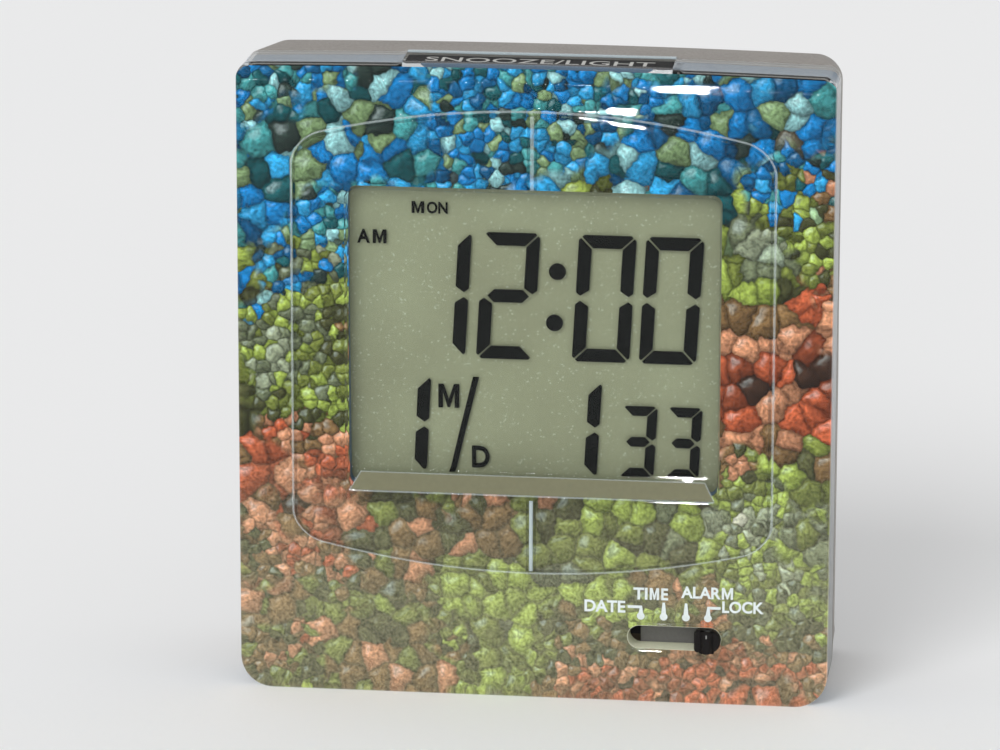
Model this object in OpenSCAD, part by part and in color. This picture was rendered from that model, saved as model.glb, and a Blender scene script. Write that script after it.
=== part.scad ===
// Digital alarm clock: a clear front cover over a printed card and a display, a slide switch,
// a snooze bar on top, two setting buttons and a battery door at the back.
// Millimetres, +Z up, the front faces -Y and the base rests on Z = 0.

/* [Case] */
// Width of the case
case_width = 82; // [80:0.5:110]
// Height of the case at the middle of its crowned top
case_height = 89.1; // [88:0.1:112]
// How far the top edge drops from the middle to its ends
crown_drop = 0.7; // [0.3:0.1:1]
// Radius of the two top corners of the cover
top_corner = 1.8; // [1.4:0.2:5]
// Radius of the two bottom corners
bottom_corner = 4.5; // [3:0.5:5]
// Depth of the clear front cover
cover_depth = 11; // [10.8:0.2:13]
// Depth of the case above the batteries
upper_depth = 24; // [21.5:0.5:28]
// Depth of the case over the batteries
hump_depth = 30; // [28.5:0.5:40]
// Wall of the rear case
case_wall = 1.8; // [1.4:0.1:2.2]
// How far the top and sides of the rear case draw in from the cover to its upper back
rear_taper = 0.7; // [0:0.1:1.2]

/* [Front cover] */
// Side wall of the clear cover
cover_wall = 0.6; // [0.5:0.1:1.6]
// Front wall of the clear cover
cover_face = 2; // [1.4:0.1:2.4]
// Radius at the front of the top edge
top_roll = 2.8; // [1:0.1:3.6]
// Radius at the other front edges
front_edge = 1.2; // [0.5:0.1:1.6]
// Margin between the raised panel and the sides of the case
panel_margin = 7.9; // [5:0.1:10]
// Rise of the raised panel
panel_rise = 1.2; // [0.6:0.1:1.4]
// Height of the lowest point of the raised panel
panel_bottom = 18.5; // [17:0.5:20]
// Distance from the top of the case to the highest point of the raised panel
panel_top_margin = 5.8; // [4.6:0.2:7]
// Bow of the top and bottom of the raised panel
panel_bow = 4.5; // [2:0.5:5]
// Corner radius of the raised panel
panel_corner = 4; // [2:0.5:5]

/* [Display] */
// Width of the display opening
display_width = 51.6; // [44:0.2:53]
// Height of the display opening
display_height = 42.7; // [36:0.1:43]
// Distance from the top of the case to the display opening
display_top_margin = 17; // [16.6:0.1:18]
// Corner radius of the display opening
display_corner = 1.4; // [0.5:0.1:3]
// Height of the sloped lower edge of the display pocket
display_slope = 2.9; // [1:0.1:4]
// Thickness of one display glass
glass_thickness = 1.1; // [0.7:0.1:1.2]
// Thickness of the light guide behind the display
guide_thickness = 2.6; // [2:0.1:3]

/* [Slide switch] */
// Middle of the switch slot, to the right of the middle of the case
switch_x = 19.8; // [14:0.2:20]
// Height of the switch slot above the base
switch_z = 9.5; // [9.2:0.1:10.5]
// Distance between two switch positions
switch_pitch = 3.1; // [2.4:0.1:3.2]
// Width of the knob
knob_width = 3.6; // [3:0.1:3.8]
// Height of the knob
knob_height = 3.2; // [2.6:0.1:3.6]
// How far the knob stands out from the front
knob_proud = 2; // [1.6:0.1:3]

/* [Snooze bar] */
// Length of the bar
bar_length = 36.8; // [20:0.2:40]
// Depth of the bar from front to back
bar_depth = 4.9; // [4.3:0.1:5.2]
// Rise of the rear edge of the bar over the case
bar_rise = 0.1; // [0:0.1:1]
// Rise of the ridge behind the bar over the case
ridge_rise = 0.3; // [0.1:0.1:1]
// Travel of the bar
bar_travel = 0.8; // [0.4:0.1:0.9]

/* [Setting buttons] */
// Radius of a setting button
set_radius = 3.5; // [2.5:0.1:4]
// Distance between the two setting buttons
set_pitch = 14; // [11:0.5:16]
// How far a setting button stands out from the back
set_proud = 0.8; // [0.5:0.1:1.5]
// Travel of a setting button
set_travel = 0.7; // [0.4:0.1:1]

/* [Batteries] */
// Diameter of one cell
cell_diameter = 10.5; // [9.6:0.1:11.5]
// Length of one cell with its contact
cell_length = 44.5; // [42:0.1:46]
// Length of the compressed contact springs
spring_length = 4.65; // [4.3:0.05:5.5]

/* [Fits] */
// Gap between parts that slide
slide_gap = 0.1; // [0.05:0.01:0.2]
// Gap between parts that stay
fit_gap = 0.12; // [0.05:0.01:0.2]

/* [Hidden] */
$fn = 64;
half_width = case_width / 2;
crown_radius = pow(half_width - top_corner, 2) / (2 * crown_drop);
middle_depth = (hump_depth - knob_proud) / 2;
rear_corner = top_corner + 1.4;

card_thickness = 0.4;
card_back = cover_face + card_thickness;
frame_plate = 1.4;
frame_back = card_back + frame_plate;
frame_wall = 1.1;
frame_inset = cover_wall + fit_gap;
skirt_end = cover_depth - 1.7;

polariser = 0.2;
glass_front = frame_back + polariser;
glass_middle = glass_front + glass_thickness;
glass_back = glass_middle + glass_thickness;
guide_front = glass_back + polariser;
guide_back = guide_front + guide_thickness;
reflector = 0.2;
board_front = guide_back + reflector;
board_thickness = 1.2;
board_back = board_front + board_thickness;

display_top = case_height - display_top_margin;
display_bottom = display_top - display_height;
glass_half = display_width / 2 + 2.7;
glass_top = display_top + 3.3;
glass_bottom = display_bottom - 3.8;
ledge = display_bottom - 1.2;
lamp_depth = 1.2;
guide_left = -glass_half + lamp_depth + 0.3;
lamp_spacing = 16;

post_radius = 2.6;
post_x = half_width - 6;
post_z = [6.5, case_height - 7.8];
post_end = board_back + 3.6;
pilot_depth = 7;
screw_shank = 1.1;
screw_head = 2;
screw_head_height = 1.6;
screw_seat = post_end + 3;
screw_length = 8.5;
well_radius = screw_head + 0.4;
well_wall = 0.8;

board_half = post_x - post_radius - 0.6;
board_bottom = 4.4;
board_top = case_height - 5.4;
stud_x = 27;
stud_z = [glass_bottom - 5.6, board_top - 2.9];
stud_radius = 2.2;
stud_screw = 0.8;

slot_length = knob_width + 3 * switch_pitch + 2 * slide_gap;
slot_height = knob_height + 2 * slide_gap;
knob_rest = switch_x + 1.5 * switch_pitch;
carrier_half = 6.6;
carrier_height = 6;
carrier_front = frame_back + slide_gap;
carrier_back = carrier_front + 3;
wiper_plate = 0.25;
pad_thickness = 0.1;
pad_front = board_front - pad_thickness;

bar_front = 4.2;
bar_back = bar_front + bar_depth;
bar_half = bar_length / 2;
notch_half = bar_half + slide_gap;
flange_top = case_height - 3.2;
flange_thickness = 1.2;
flange_bottom = flange_top - flange_thickness;
flange_half = bar_half + 1.8;
switch_top = case_height - 7.6;
switch_height = 4;
press_top = case_height - 5.8;
press_radius = 1.2;
press_y = (bar_front + bar_back) / 2;
press_depth = 2 * (board_front - press_y);

set_x = [13 - set_pitch / 2, 13 + set_pitch / 2];
set_z = case_height - 19;
set_switch_side = 6;
set_switch_back = board_back + 3.4;
set_press_back = set_switch_back + 1.6;
set_press_radius = 1.6;
set_flange_back = upper_depth - case_wall - slide_gap;
set_flange_thickness = 1.2;

sounder_x = -16;
sounder_z = case_height - 19;
sounder_radius = 10;
sounder_ring = 1.4;
sounder_back = upper_depth - case_wall - sounder_ring;
brass_thickness = 0.3;
ceramic_radius = 7;
ceramic_thickness = 0.25;
sounder_front = sounder_back - brass_thickness - ceramic_thickness;

cell_radius = cell_diameter / 2;
cell_pitch = cell_diameter + 1;
nub_length = 0.9;
nub_radius = 1.9;
tray_wall = 1.2;
tray_bottom = 9.75;
tray_top = tray_bottom + 2 * cell_diameter + 2;
cell_z = [tray_bottom + 0.5 + cell_radius, tray_bottom + 0.5 + cell_radius + cell_pitch];
door_thickness = case_wall;
door_inside = hump_depth - door_thickness;
cell_y = door_inside - 0.4 - cell_radius;
tray_floor = cell_y - cell_radius - 0.2;
tray_front = tray_floor - tray_wall;
contact_plate = 0.4;
tray_half = (cell_length + spring_length + 2 * contact_plate + 0.05) / 2;
door_gap = 0.2;
rim_width = door_gap + 1.2;
rim_thickness = 1.4;
door_half = tray_half + tray_wall;
door_bottom = tray_bottom - tray_wall;
door_top = tray_top + tray_wall;
hump_top = door_top + 7;
slope_top = hump_top + 10;
slope_lean = tan(atan2(hump_depth - upper_depth, slope_top - hump_top) / 2);
tab_x = 14;
tab_width = 6;
tab_drop = 1.6;
tab_thickness = 1.2;
tab_back = door_inside - 0.1;

wire_radius = 0.35;
coil_base = min(3.8, cell_radius - 1.2);
coil_tip = coil_base - 0.8;
coil_turns = 3.25;
lead_radius = 0.6;
lead_gap = 0.15;

function unit(v) = v / norm(v);

function corner_arc(a, p, b, r, n) =
    r <= 0 ? [p] :
    let (
        u = unit(a - p),
        v = unit(b - p),
        half = acos(u * v) / 2,
        c = p + unit(u + v) * r / sin(half),
        s = p + u * r / tan(half) - c,
        e = p + v * r / tan(half) - c,
        start = atan2(s[1], s[0]),
        turn = atan2(s[0] * e[1] - s[1] * e[0], s * e)
    )
    [for (i = [0:n]) c + r * [cos(start + turn * i / n), sin(start + turn * i / n)]];

// Outline with each corner rounded by its own radius.
function rounded(points, radii, n = 8) =
    let (count = len(points))
    [for (i = [0:count - 1])
        each corner_arc(points[(i + count - 1) % count], points[i], points[(i + 1) % count], radii[i], n)];

// Side view of the case, drawn inwards by an inset.
function side_profile(inset, roll) = rounded(
    [
        [inset, inset],
        [hump_depth - inset, inset],
        [hump_depth - inset, hump_top - inset * slope_lean],
        [upper_depth - inset, slope_top - inset * slope_lean],
        [upper_depth - inset, case_height - inset - (roll > 0 ? 0 : rear_taper)],
        [cover_depth - 2, case_height - inset],
        [inset, case_height - inset]
    ],
    [roll > 0 ? front_edge : 0, 1.5, 3, 4, 3, 0, roll]
);

// Top view of the rear case, drawn inwards by an inset.
function plan_profile(inset) =
    let (
        front = half_width - inset,
        back = front - rear_taper * (hump_depth - cover_depth) / (upper_depth - cover_depth)
    )
    [
        [-front, cover_depth - 1],
        [front, cover_depth - 1],
        [front, cover_depth],
        [back, hump_depth],
        [-back, hump_depth],
        [-front, cover_depth]
    ];

// Points of a tube along a path: rings of equal sides, each square to the path.
function tangent(path, i) =
    let (last = len(path) - 1)
    unit(path[min(i + 1, last)] - path[max(i - 1, 0)]);

function ring(path, i, radius, side, sides) =
    let (
        t = tangent(path, i),
        n = unit(cross(side, t)),
        b = cross(t, n)
    )
    [for (k = [0:sides - 1]) path[i] + radius * (cos(360 * k / sides) * n + sin(360 * k / sides) * b)];

// Middle line of a coil that narrows from its base to its tip along X.
function coil_path(start, length, turns, base, tip) =
    let (steps = ceil(turns * 8))
    [for (i = [0:steps])
        let (
            share = i / steps,
            radius = base + (tip - base) * share
        )
        start + [length * share, radius * cos(360 * turns * share), radius * sin(360 * turns * share)]];

// Middle line of a contact spring, which starts at its plate and ends at the cell.
function spring_path(start) =
    coil_path(start, -(spring_length - 2 * wire_radius), coil_turns, coil_base, coil_tip);

// Smallest distance between two curls of a path, less the thickness of the wire.
function self_gap(path, radius, apart) =
    min([for (i = [0:len(path) - 1 - apart])
        for (j = [i + apart:len(path) - 1])
            norm(path[i] - path[j])]) - 2 * radius;

// Curve from one point to another that leaves and arrives along two given handles.
function bezier(a, b, c, d, steps = 12) =
    [for (i = [0:steps])
        let (
            t = i / steps,
            s = 1 - t
        )
        s * s * s * a + 3 * s * s * t * b + 3 * s * t * t * c + t * t * t * d];

echo(str("least gap between two curls of a contact spring: ",
    self_gap(spring_path([0, 0, 0]), wire_radius, 5), " mm"));

module in_place()
    translate([0, -middle_depth, 0])
        children();

// Carries a front view outline from one depth to another.
module along_y(from, to)
    translate([0, to, 0])
        rotate([90, 0, 0])
            linear_extrude(height = to - from)
                children();

// Carries a side view outline from one X to another.
module along_x(from, to)
    translate([from, 0, 0])
        rotate([90, 0, 90])
            linear_extrude(height = to - from)
                children();

module block(x, y, z)
    translate([x[0], y[0], z[0]])
        cube([x[1] - x[0], y[1] - y[0], z[1] - z[0]]);

module rod_y(x, z, from, to, radius)
    translate([x, to, z])
        rotate([90, 0, 0])
            cylinder(r = radius, h = to - from);

module rod_x(y, z, from, to, radius)
    translate([from, y, z])
        rotate([0, 90, 0])
            cylinder(r = radius, h = to - from);

module tube(path, radius, side = [1, 0, 0], sides = 6) {
    rings = len(path);
    points = [for (i = [0:rings - 1]) each ring(path, i, radius, side, sides)];
    walls = [for (i = [0:rings - 2])
        for (k = [0:sides - 1])
            each let (
                a = i * sides + k,
                b = i * sides + (k + 1) % sides
            )
            [[a, a + sides, b], [b, a + sides, b + sides]]];
    first = [for (k = [0:sides - 1]) k];
    last = [for (k = [0:sides - 1]) rings * sides - 1 - k];
    polyhedron(points = points, faces = concat(walls, [first, last]));
}

module rounded_box(half, bottom, top, low, high) {
    translate([-half + low, bottom])
        square([2 * (half - low), top - bottom - high]);
    translate([-half, bottom + low])
        square([2 * half, top - bottom - low - high]);
    translate([-half + high, top - high - low])
        square([2 * (half - high), high + low]);
    for (side = [-1, 1]) {
        translate([side * (half - low), bottom + low])
            circle(r = low);
        translate([side * (half - high), top - high])
            circle(r = high);
    }
}

// Front view of the case, drawn inwards by an inset: its top corners run into the crowned top.
module case_outline(inset, corner = top_corner) {
    low = max(bottom_corner - inset, 0.3);
    high = max(corner - inset, 0.3);
    crown = crown_radius - inset;
    reach = half_width - inset - high;
    shoulder = case_height - crown_radius + sqrt(pow(crown - high, 2) - reach * reach) + high + 0.02;
    intersection() {
        union() {
            rounded_box(half_width - inset, inset, shoulder, low, high);
            translate([-reach, shoulder - high])
                square([2 * reach, case_height - shoulder + high]);
        }
        translate([0, case_height - crown_radius])
            circle(r = crown, $fn = 720);
    }
}

// Raised panel: a box with rounded corners, bowed at its top and bottom.
module panel_outline() {
    half = half_width - panel_margin;
    top = case_height - panel_top_margin;
    bow_radius = (half * half + panel_bow * panel_bow) / (2 * panel_bow);
    intersection() {
        rounded_box(half, panel_bottom + panel_bow - 2, top - panel_bow + 2, panel_corner, panel_corner);
        translate([0, top - bow_radius])
            circle(r = bow_radius, $fn = 360);
        translate([0, panel_bottom + bow_radius])
            circle(r = bow_radius, $fn = 360);
    }
    intersection() {
        translate([-half + panel_corner, panel_bottom])
            square([2 * (half - panel_corner), top - panel_bottom]);
        translate([0, top - bow_radius])
            circle(r = bow_radius, $fn = 360);
        translate([0, panel_bottom + bow_radius])
            circle(r = bow_radius, $fn = 360);
    }
}

module display_outline(extra = 0)
    rounded_box(display_width / 2 + extra, display_bottom - extra, display_top + extra,
        display_corner, display_corner);

module slot_outline(length, height)
    translate([switch_x, switch_z]) {
        square([length - height, height], center = true);
        for (side = [-1, 1])
            translate([side * (length - height) / 2, 0])
                circle(r = height / 2);
    }

module front_cover()
    color("lightblue")
        in_place()
            difference() {
                union() {
                    intersection() {
                        along_y(0, cover_depth)
                            case_outline(0);
                        along_x(-half_width, half_width)
                            polygon(side_profile(0, top_roll));
                        linear_extrude(height = case_height)
                            polygon(rounded(
                                [[-half_width, 0], [half_width, 0],
                                    [half_width, cover_depth], [-half_width, cover_depth]],
                                [front_edge, front_edge, 0, 0]));
                    }
                    along_y(-panel_rise, 0.5)
                        panel_outline();
                    block([-notch_half - 1, notch_half + 1],
                        [bar_back + slide_gap, bar_back + slide_gap + 1.2],
                        [case_height - 1, case_height + ridge_rise]);
                    for (span = [[panel_bottom + 0.6, display_bottom - 0.5],
                            [display_top + 0.5, case_height - panel_top_margin - 0.6]])
                        block([-0.35, 0.35], [-panel_rise - 0.3, 0], span);
                }
                along_y(cover_face, cover_depth + 1)
                    case_outline(cover_wall);
                intersection() {
                    along_x(-half_width, half_width)
                        polygon([
                            [-panel_rise - 0.5, display_bottom - display_slope * 0.5 / (panel_rise + 0.6)],
                            [0.6, display_bottom + display_slope],
                            [0.6, display_top],
                            [-panel_rise - 0.5, display_top]
                        ]);
                    along_y(-panel_rise - 0.5, 0.6)
                        display_outline();
                }
                along_y(-1, cover_face + 1)
                    slot_outline(slot_length, slot_height);
                block([-notch_half, notch_half], [bar_front - slide_gap, bar_back + slide_gap],
                    [case_height - 6, case_height + 2]);
            }

module picture_card()
    color("teal")
        in_place()
            difference() {
                along_y(cover_face, card_back)
                    case_outline(cover_wall + 0.02);
                along_y(cover_face - 1, card_back + 1)
                    display_outline();
                along_y(cover_face - 1, card_back + 1)
                    slot_outline(slot_length, slot_height);
            }

module main_frame()
    color("lightgrey")
        in_place()
            difference() {
                union() {
                    along_y(card_back, frame_back)
                        case_outline(frame_inset);
                    difference() {
                        along_y(card_back, skirt_end)
                            case_outline(frame_inset);
                        along_y(card_back - 1, skirt_end + 1)
                            case_outline(frame_inset + frame_wall);
                    }
                    difference() {
                        block([-glass_half - fit_gap - 1.2, glass_half + fit_gap + 1.2],
                            [frame_back - 0.2, board_front],
                            [glass_bottom - fit_gap - 1.2, glass_top + fit_gap + 1.2]);
                        block([-glass_half - fit_gap, glass_half + fit_gap], [0, board_front + 1],
                            [glass_bottom - fit_gap, glass_top + fit_gap]);
                    }
                    for (z = [switch_z - carrier_height / 2 - slide_gap - 1.2,
                            switch_z + carrier_height / 2 + slide_gap])
                        block([switch_x - 13, post_x - post_radius - 0.3], [frame_back - 0.2, carrier_back],
                            [z, z + 1.2]);
                    for (side = [-1, 1]) {
                        for (z = post_z)
                            rod_y(side * post_x, z, frame_back - 0.2, post_end, post_radius);
                        for (z = stud_z)
                            rod_y(side * stud_x, z, frame_back - 0.2, board_front, stud_radius);
                    }
                }
                along_y(card_back - 1, frame_back)
                    display_outline();
                along_y(card_back - 1, frame_back + 1)
                    slot_outline(slot_length, slot_height);
                block([-notch_half, notch_half], [bar_front - slide_gap, skirt_end + 1],
                    [flange_top, case_height]);
                for (side = [-1, 1]) {
                    for (z = post_z)
                        rod_y(side * post_x, z, post_end - pilot_depth, post_end + 1, screw_shank + 0.03);
                    for (z = stud_z)
                        rod_y(side * stud_x, z, frame_back + 0.4, board_front + 1, stud_screw + 0.03);
                }
            }

module lcd_front_polariser()
    color("dimgray")
        in_place()
            block([-glass_half + 0.8, glass_half - 0.8], [frame_back, glass_front],
                [ledge + 0.2, glass_top - 0.8]);

module lcd_front_glass()
    color("lightcyan")
        in_place()
            block([-glass_half, glass_half], [glass_front, glass_middle], [glass_bottom, glass_top]);

module lcd_rear_glass()
    color("lightcyan")
        in_place()
            block([-glass_half, glass_half], [glass_middle, glass_back], [ledge, glass_top]);

module lcd_rear_polariser()
    color("darkkhaki")
        in_place()
            block([-glass_half + 0.8, glass_half - 0.8], [glass_back, guide_front],
                [ledge + 0.2, glass_top - 0.8]);

module light_guide()
    color("white")
        in_place()
            block([guide_left, glass_half - 0.3], [guide_front, guide_back],
                [ledge + 0.2, glass_top - 0.3]);

module reflector_sheet()
    color("whitesmoke")
        in_place()
            block([guide_left, glass_half - 0.3], [guide_back, board_front],
                [ledge + 0.2, glass_top - 0.3]);

module backlight_lamps()
    color("lightyellow")
        in_place()
            for (side = [-1, 1])
                translate([0, 0, (ledge + glass_top) / 2 + side * lamp_spacing / 2])
                    block([guide_left - 0.1 - lamp_depth, guide_left - 0.1],
                        [board_front - 1.6, board_front], [-1.5, 1.5]);

module contact_strip()
    color("hotpink")
        in_place()
            block([-glass_half + 1, glass_half - 1], [glass_middle, board_front],
                [glass_bottom + 0.2, ledge - 0.2]);

module circuit_board()
    color("darkgreen")
        in_place()
            difference() {
                block([-board_half, board_half], [board_front, board_back], [board_bottom, board_top]);
                for (side = [-1, 1])
                    for (z = stud_z)
                        rod_y(side * stud_x, z, board_front - 1, board_back + 1, stud_screw + 0.15);
            }

module clock_chip()
    color("black")
        in_place()
            translate([-10, board_back, glass_top - 28])
                rotate([-90, 0, 0])
                    rotate_extrude()
                        polygon([[0, 0], [6, 0], [5.6, 0.7], [4.4, 1.3], [2.6, 1.6], [0, 1.7]]);

module clock_crystal()
    color("silver")
        in_place()
            rod_x(board_back + 1.02, glass_top - 26, 8, 14.5, 1);

module chip_capacitors()
    color("tan")
        in_place()
            for (k = [0:3])
                translate([4 + 5 * k, board_back, glass_top - 36])
                    cube([2, 1, 1.25]);

module chip_resistors()
    color("black")
        in_place()
            for (k = [0:4])
                translate([-26 + 4 * k, board_back, glass_top - 38])
                    cube([1.6, 0.5, 0.8]);

module switch_pads()
    color("gold")
        in_place()
            for (k = [0:4])
                translate([switch_x + (k - 2) * switch_pitch, 0, 0])
                    block([-switch_pitch * 0.4, switch_pitch * 0.4], [pad_front, board_front],
                        [switch_z - 2.2, switch_z + 2.2]);

module board_screws()
    color("silver")
        in_place()
            for (side = [-1, 1])
                for (z = stud_z)
                    difference() {
                        union() {
                            rod_y(side * stud_x, z, board_back - 5, board_back, stud_screw);
                            rod_y(side * stud_x, z, board_back, board_back + 1.2, 1.6);
                        }
                        translate([side * stud_x, board_back, z]) {
                            block([-1, 1], [0.7, 2], [-0.25, 0.25]);
                            block([-0.25, 0.25], [0.7, 2], [-1, 1]);
                        }
                    }

module mode_knob()
    color("black")
        in_place()
            union() {
                along_x(knob_rest - carrier_half, knob_rest + carrier_half)
                    polygon([
                        [carrier_front, switch_z - carrier_height / 2],
                        [carrier_back, switch_z - carrier_height / 2],
                        [carrier_back, switch_z + carrier_height / 2],
                        [carrier_front, switch_z + carrier_height / 2]
                    ]);
                along_y(-slide_gap - 0.2, carrier_front + 0.5)
                    translate([knob_rest - switch_x, 0])
                        slot_outline(knob_width, knob_height);
                translate([0, 0, switch_z - knob_height / 2])
                    linear_extrude(height = knob_height)
                        polygon([
                            [knob_rest - knob_width / 2, -slide_gap],
                            [knob_rest - knob_width / 2, -0.5],
                            [knob_rest - 0.35, -knob_proud],
                            [knob_rest + 0.35, -knob_proud],
                            [knob_rest + knob_width / 2, -0.5],
                            [knob_rest + knob_width / 2, -slide_gap]
                        ]);
            }

module mode_wiper()
    color("goldenrod")
        in_place()
            translate([0, 0, switch_z - 1.5])
                linear_extrude(height = 3)
                    polygon([
                        [knob_rest - 4, carrier_back],
                        [knob_rest + 4, carrier_back],
                        [knob_rest + 4, carrier_back + wiper_plate],
                        [knob_rest + 2.6, carrier_back + wiper_plate],
                        [knob_rest + 0.5, pad_front - 0.05],
                        [knob_rest - 0.5, pad_front - 0.05],
                        [knob_rest + 1.9, carrier_back + wiper_plate],
                        [knob_rest - 4, carrier_back + wiper_plate]
                    ]);

module snooze_bar()
    color("black")
        in_place()
            union() {
                along_x(-bar_half, bar_half)
                    polygon([
                        [bar_front, flange_bottom],
                        [bar_back, flange_bottom],
                        [bar_back, case_height + bar_rise],
                        [bar_back - 0.6, case_height + bar_rise],
                        [bar_front, case_height - 0.1]
                    ]);
                block([-flange_half, flange_half], [bar_front, bar_back], [flange_bottom, flange_top]);
                block([-2.5, 2.5], [press_y - 1, press_y + 1], [press_top, flange_bottom + 0.2]);
            }

module snooze_switch()
    color("dimgray")
        in_place()
            difference() {
                block([-3, 3], [board_front - press_depth, board_front],
                    [switch_top - switch_height, switch_top]);
                translate([0, press_y, switch_top - 2.3])
                    cylinder(r = press_radius + 0.05, h = 3);
            }

module snooze_plunger()
    color("gray")
        in_place()
            translate([0, press_y, switch_top - 1.3])
                cylinder(r = press_radius, h = press_top - switch_top + 1.3);

module set_button(x)
    in_place()
        union() {
            rod_y(x, set_z, set_flange_back - set_flange_thickness, upper_depth + set_proud, set_radius);
            rod_y(x, set_z, set_flange_back - set_flange_thickness, set_flange_back, set_radius + 0.9);
            rod_y(x, set_z, set_press_back, set_flange_back, 2);
        }

module hour_button()
    color("black")
        set_button(set_x[0]);

module minute_button()
    color("black")
        set_button(set_x[1]);

module set_plunger(x)
    in_place()
        rod_y(x, set_z, set_switch_back - 1.2, set_press_back, set_press_radius);

module hour_plunger()
    color("gray")
        set_plunger(set_x[0]);

module minute_plunger()
    color("gray")
        set_plunger(set_x[1]);

module set_switches()
    color("dimgray")
        in_place()
            for (x = set_x)
                difference() {
                    block([x - set_switch_side / 2, x + set_switch_side / 2], [board_back, set_switch_back],
                        [set_z - set_switch_side / 2, set_z + set_switch_side / 2]);
                    rod_y(x, set_z, set_switch_back - 2.3, set_switch_back + 1, set_press_radius + 0.05);
                }

module rear_case()
    color("gray")
        in_place()
            difference() {
                union() {
                    difference() {
                        intersection() {
                            along_y(cover_depth, hump_depth)
                                case_outline(0, rear_corner);
                            along_x(-half_width, half_width)
                                polygon(side_profile(0, 0));
                            linear_extrude(height = case_height)
                                polygon(plan_profile(0));
                        }
                        intersection() {
                            along_y(cover_depth - 1, hump_depth)
                                case_outline(case_wall, rear_corner);
                            along_x(-half_width, half_width)
                                polygon(side_profile(case_wall, 0));
                            linear_extrude(height = case_height)
                                polygon(plan_profile(case_wall));
                        }
                    }
                    difference() {
                        along_y(skirt_end + 0.3, cover_depth + 0.5)
                            case_outline(frame_inset, rear_corner);
                        along_y(skirt_end - 1, cover_depth + 2)
                            case_outline(case_wall + 0.6, rear_corner);
                    }
                    block([-door_half, door_half], [tray_front, door_inside], [door_bottom, door_top]);
                    block([-door_half - rim_width, door_half + rim_width],
                        [door_inside - rim_thickness, door_inside + 0.5],
                        [door_bottom - rim_width, door_top + rim_width]);
                    intersection() {
                        for (side = [-1, 1])
                            for (z = post_z)
                                rod_y(side * post_x, z, post_end + fit_gap, hump_depth,
                                    well_radius + well_wall);
                        along_x(-half_width, half_width)
                            polygon(side_profile(0.5, 0));
                    }
                    rod_y(sounder_x, sounder_z, sounder_back, upper_depth - 0.5, sounder_radius + 0.6);
                }
                rod_y(sounder_x, sounder_z, sounder_back - 1, upper_depth - case_wall,
                    sounder_radius - 1.6);
                for (side = [-1, 1])
                    for (z = post_z) {
                        rod_y(side * post_x, z, screw_seat, hump_depth + 1, well_radius);
                        rod_y(side * post_x, z, post_end - 1, screw_seat + 1, screw_shank + 0.2);
                    }
                for (x = set_x)
                    rod_y(x, set_z, upper_depth - case_wall - 1, upper_depth + 1, set_radius + slide_gap);
                rod_y(sounder_x, sounder_z, sounder_back, upper_depth + 1, 0.9);
                for (k = [0:5])
                    rod_y(sounder_x + 4.5 * cos(60 * k), sounder_z + 4.5 * sin(60 * k),
                        sounder_back, upper_depth + 1, 0.9);
                block([-tray_half, tray_half], [tray_floor, hump_depth + 1], [tray_bottom, tray_top]);
                block([-door_half - door_gap, door_half + door_gap], [door_inside, hump_depth + 1],
                    [door_bottom - door_gap, door_top + door_gap]);
                for (side = [-1, 1])
                    block([side * tab_x - tab_width / 2 - 0.3, side * tab_x + tab_width / 2 + 0.3],
                        [tab_back - tab_thickness - 0.8, door_inside],
                        [door_bottom - tab_drop - 0.4, tray_bottom + 0.5]);
                for (z = cell_z)
                    block([tray_half - contact_plate - 0.2, tray_half], [tray_front - 1, tray_floor + 1],
                        [z - 1.7, z + 1.7]);
            }

module battery_door()
    color("gray")
        in_place()
            difference() {
                union() {
                    block([-door_half, door_half], [door_inside, hump_depth], [door_bottom, door_top]);
                    for (side = [-1, 1])
                        along_x(side * tab_x - tab_width / 2, side * tab_x + tab_width / 2)
                            polygon([
                                [door_inside + 0.2, tray_bottom + 0.4],
                                [door_inside + 0.2, tray_bottom + 2.4],
                                [tab_back - tab_thickness, tray_bottom + 1.4],
                                [tab_back - tab_thickness, door_bottom - tab_drop],
                                [tab_back, door_bottom - tab_drop],
                                [tab_back, tray_bottom + 0.4]
                            ]);
                }
                for (x = [-6.6, 5.8])
                    block([x, x + 0.8], [door_inside - 1, hump_depth + 1], [door_top - 8, door_top + 1]);
                for (k = [0:3])
                    block([-4.6, 4.6], [hump_depth - 0.4, hump_depth + 1],
                        [door_top - 6.6 + 1.5 * k, door_top - 6 + 1.5 * k]);
            }

module cell(z, side)
    in_place()
        mirror([side < 0 ? 1 : 0, 0, 0]) {
            rod_x(cell_y, z, tray_half - contact_plate - 0.05 - cell_length,
                tray_half - contact_plate - 0.05 - nub_length, cell_radius);
            rod_x(cell_y, z, tray_half - contact_plate - 0.1 - nub_length,
                tray_half - contact_plate - 0.05, nub_radius);
        }

module upper_cell()
    color("darkorange")
        cell(cell_z[1], 1);

module lower_cell()
    color("darkorange")
        cell(cell_z[0], -1);

module contact_spring(z)
    tube(spring_path([tray_half - contact_plate - wire_radius, cell_y, z]), wire_radius);

module contact_leaf(z, half)
    block([tray_half - contact_plate, tray_half], [cell_y - 4, cell_y + 4], [z - half, z + half]);

module contact_tab(z)
    block([tray_half - contact_plate, tray_half - 0.02], [tray_front - 1.6, cell_y - 3],
        [z - 1.5, z + 1.5]);

module positive_contact()
    color("silver")
        in_place()
            union() {
                contact_leaf(cell_z[1], 4);
                contact_tab(cell_z[1]);
            }

module negative_contact()
    color("silver")
        in_place()
            union() {
                contact_leaf(cell_z[0], 4);
                contact_tab(cell_z[0]);
            }

module link_contact()
    color("silver")
        in_place()
            mirror([1, 0, 0])
                block([tray_half - contact_plate, tray_half], [cell_y - 4, cell_y + 4],
                    [cell_z[0] - 4, cell_z[1] + 4]);

module contact_springs()
    color("silver")
        in_place() {
            contact_spring(cell_z[0]);
            mirror([1, 0, 0])
                contact_spring(cell_z[1]);
        }

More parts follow.
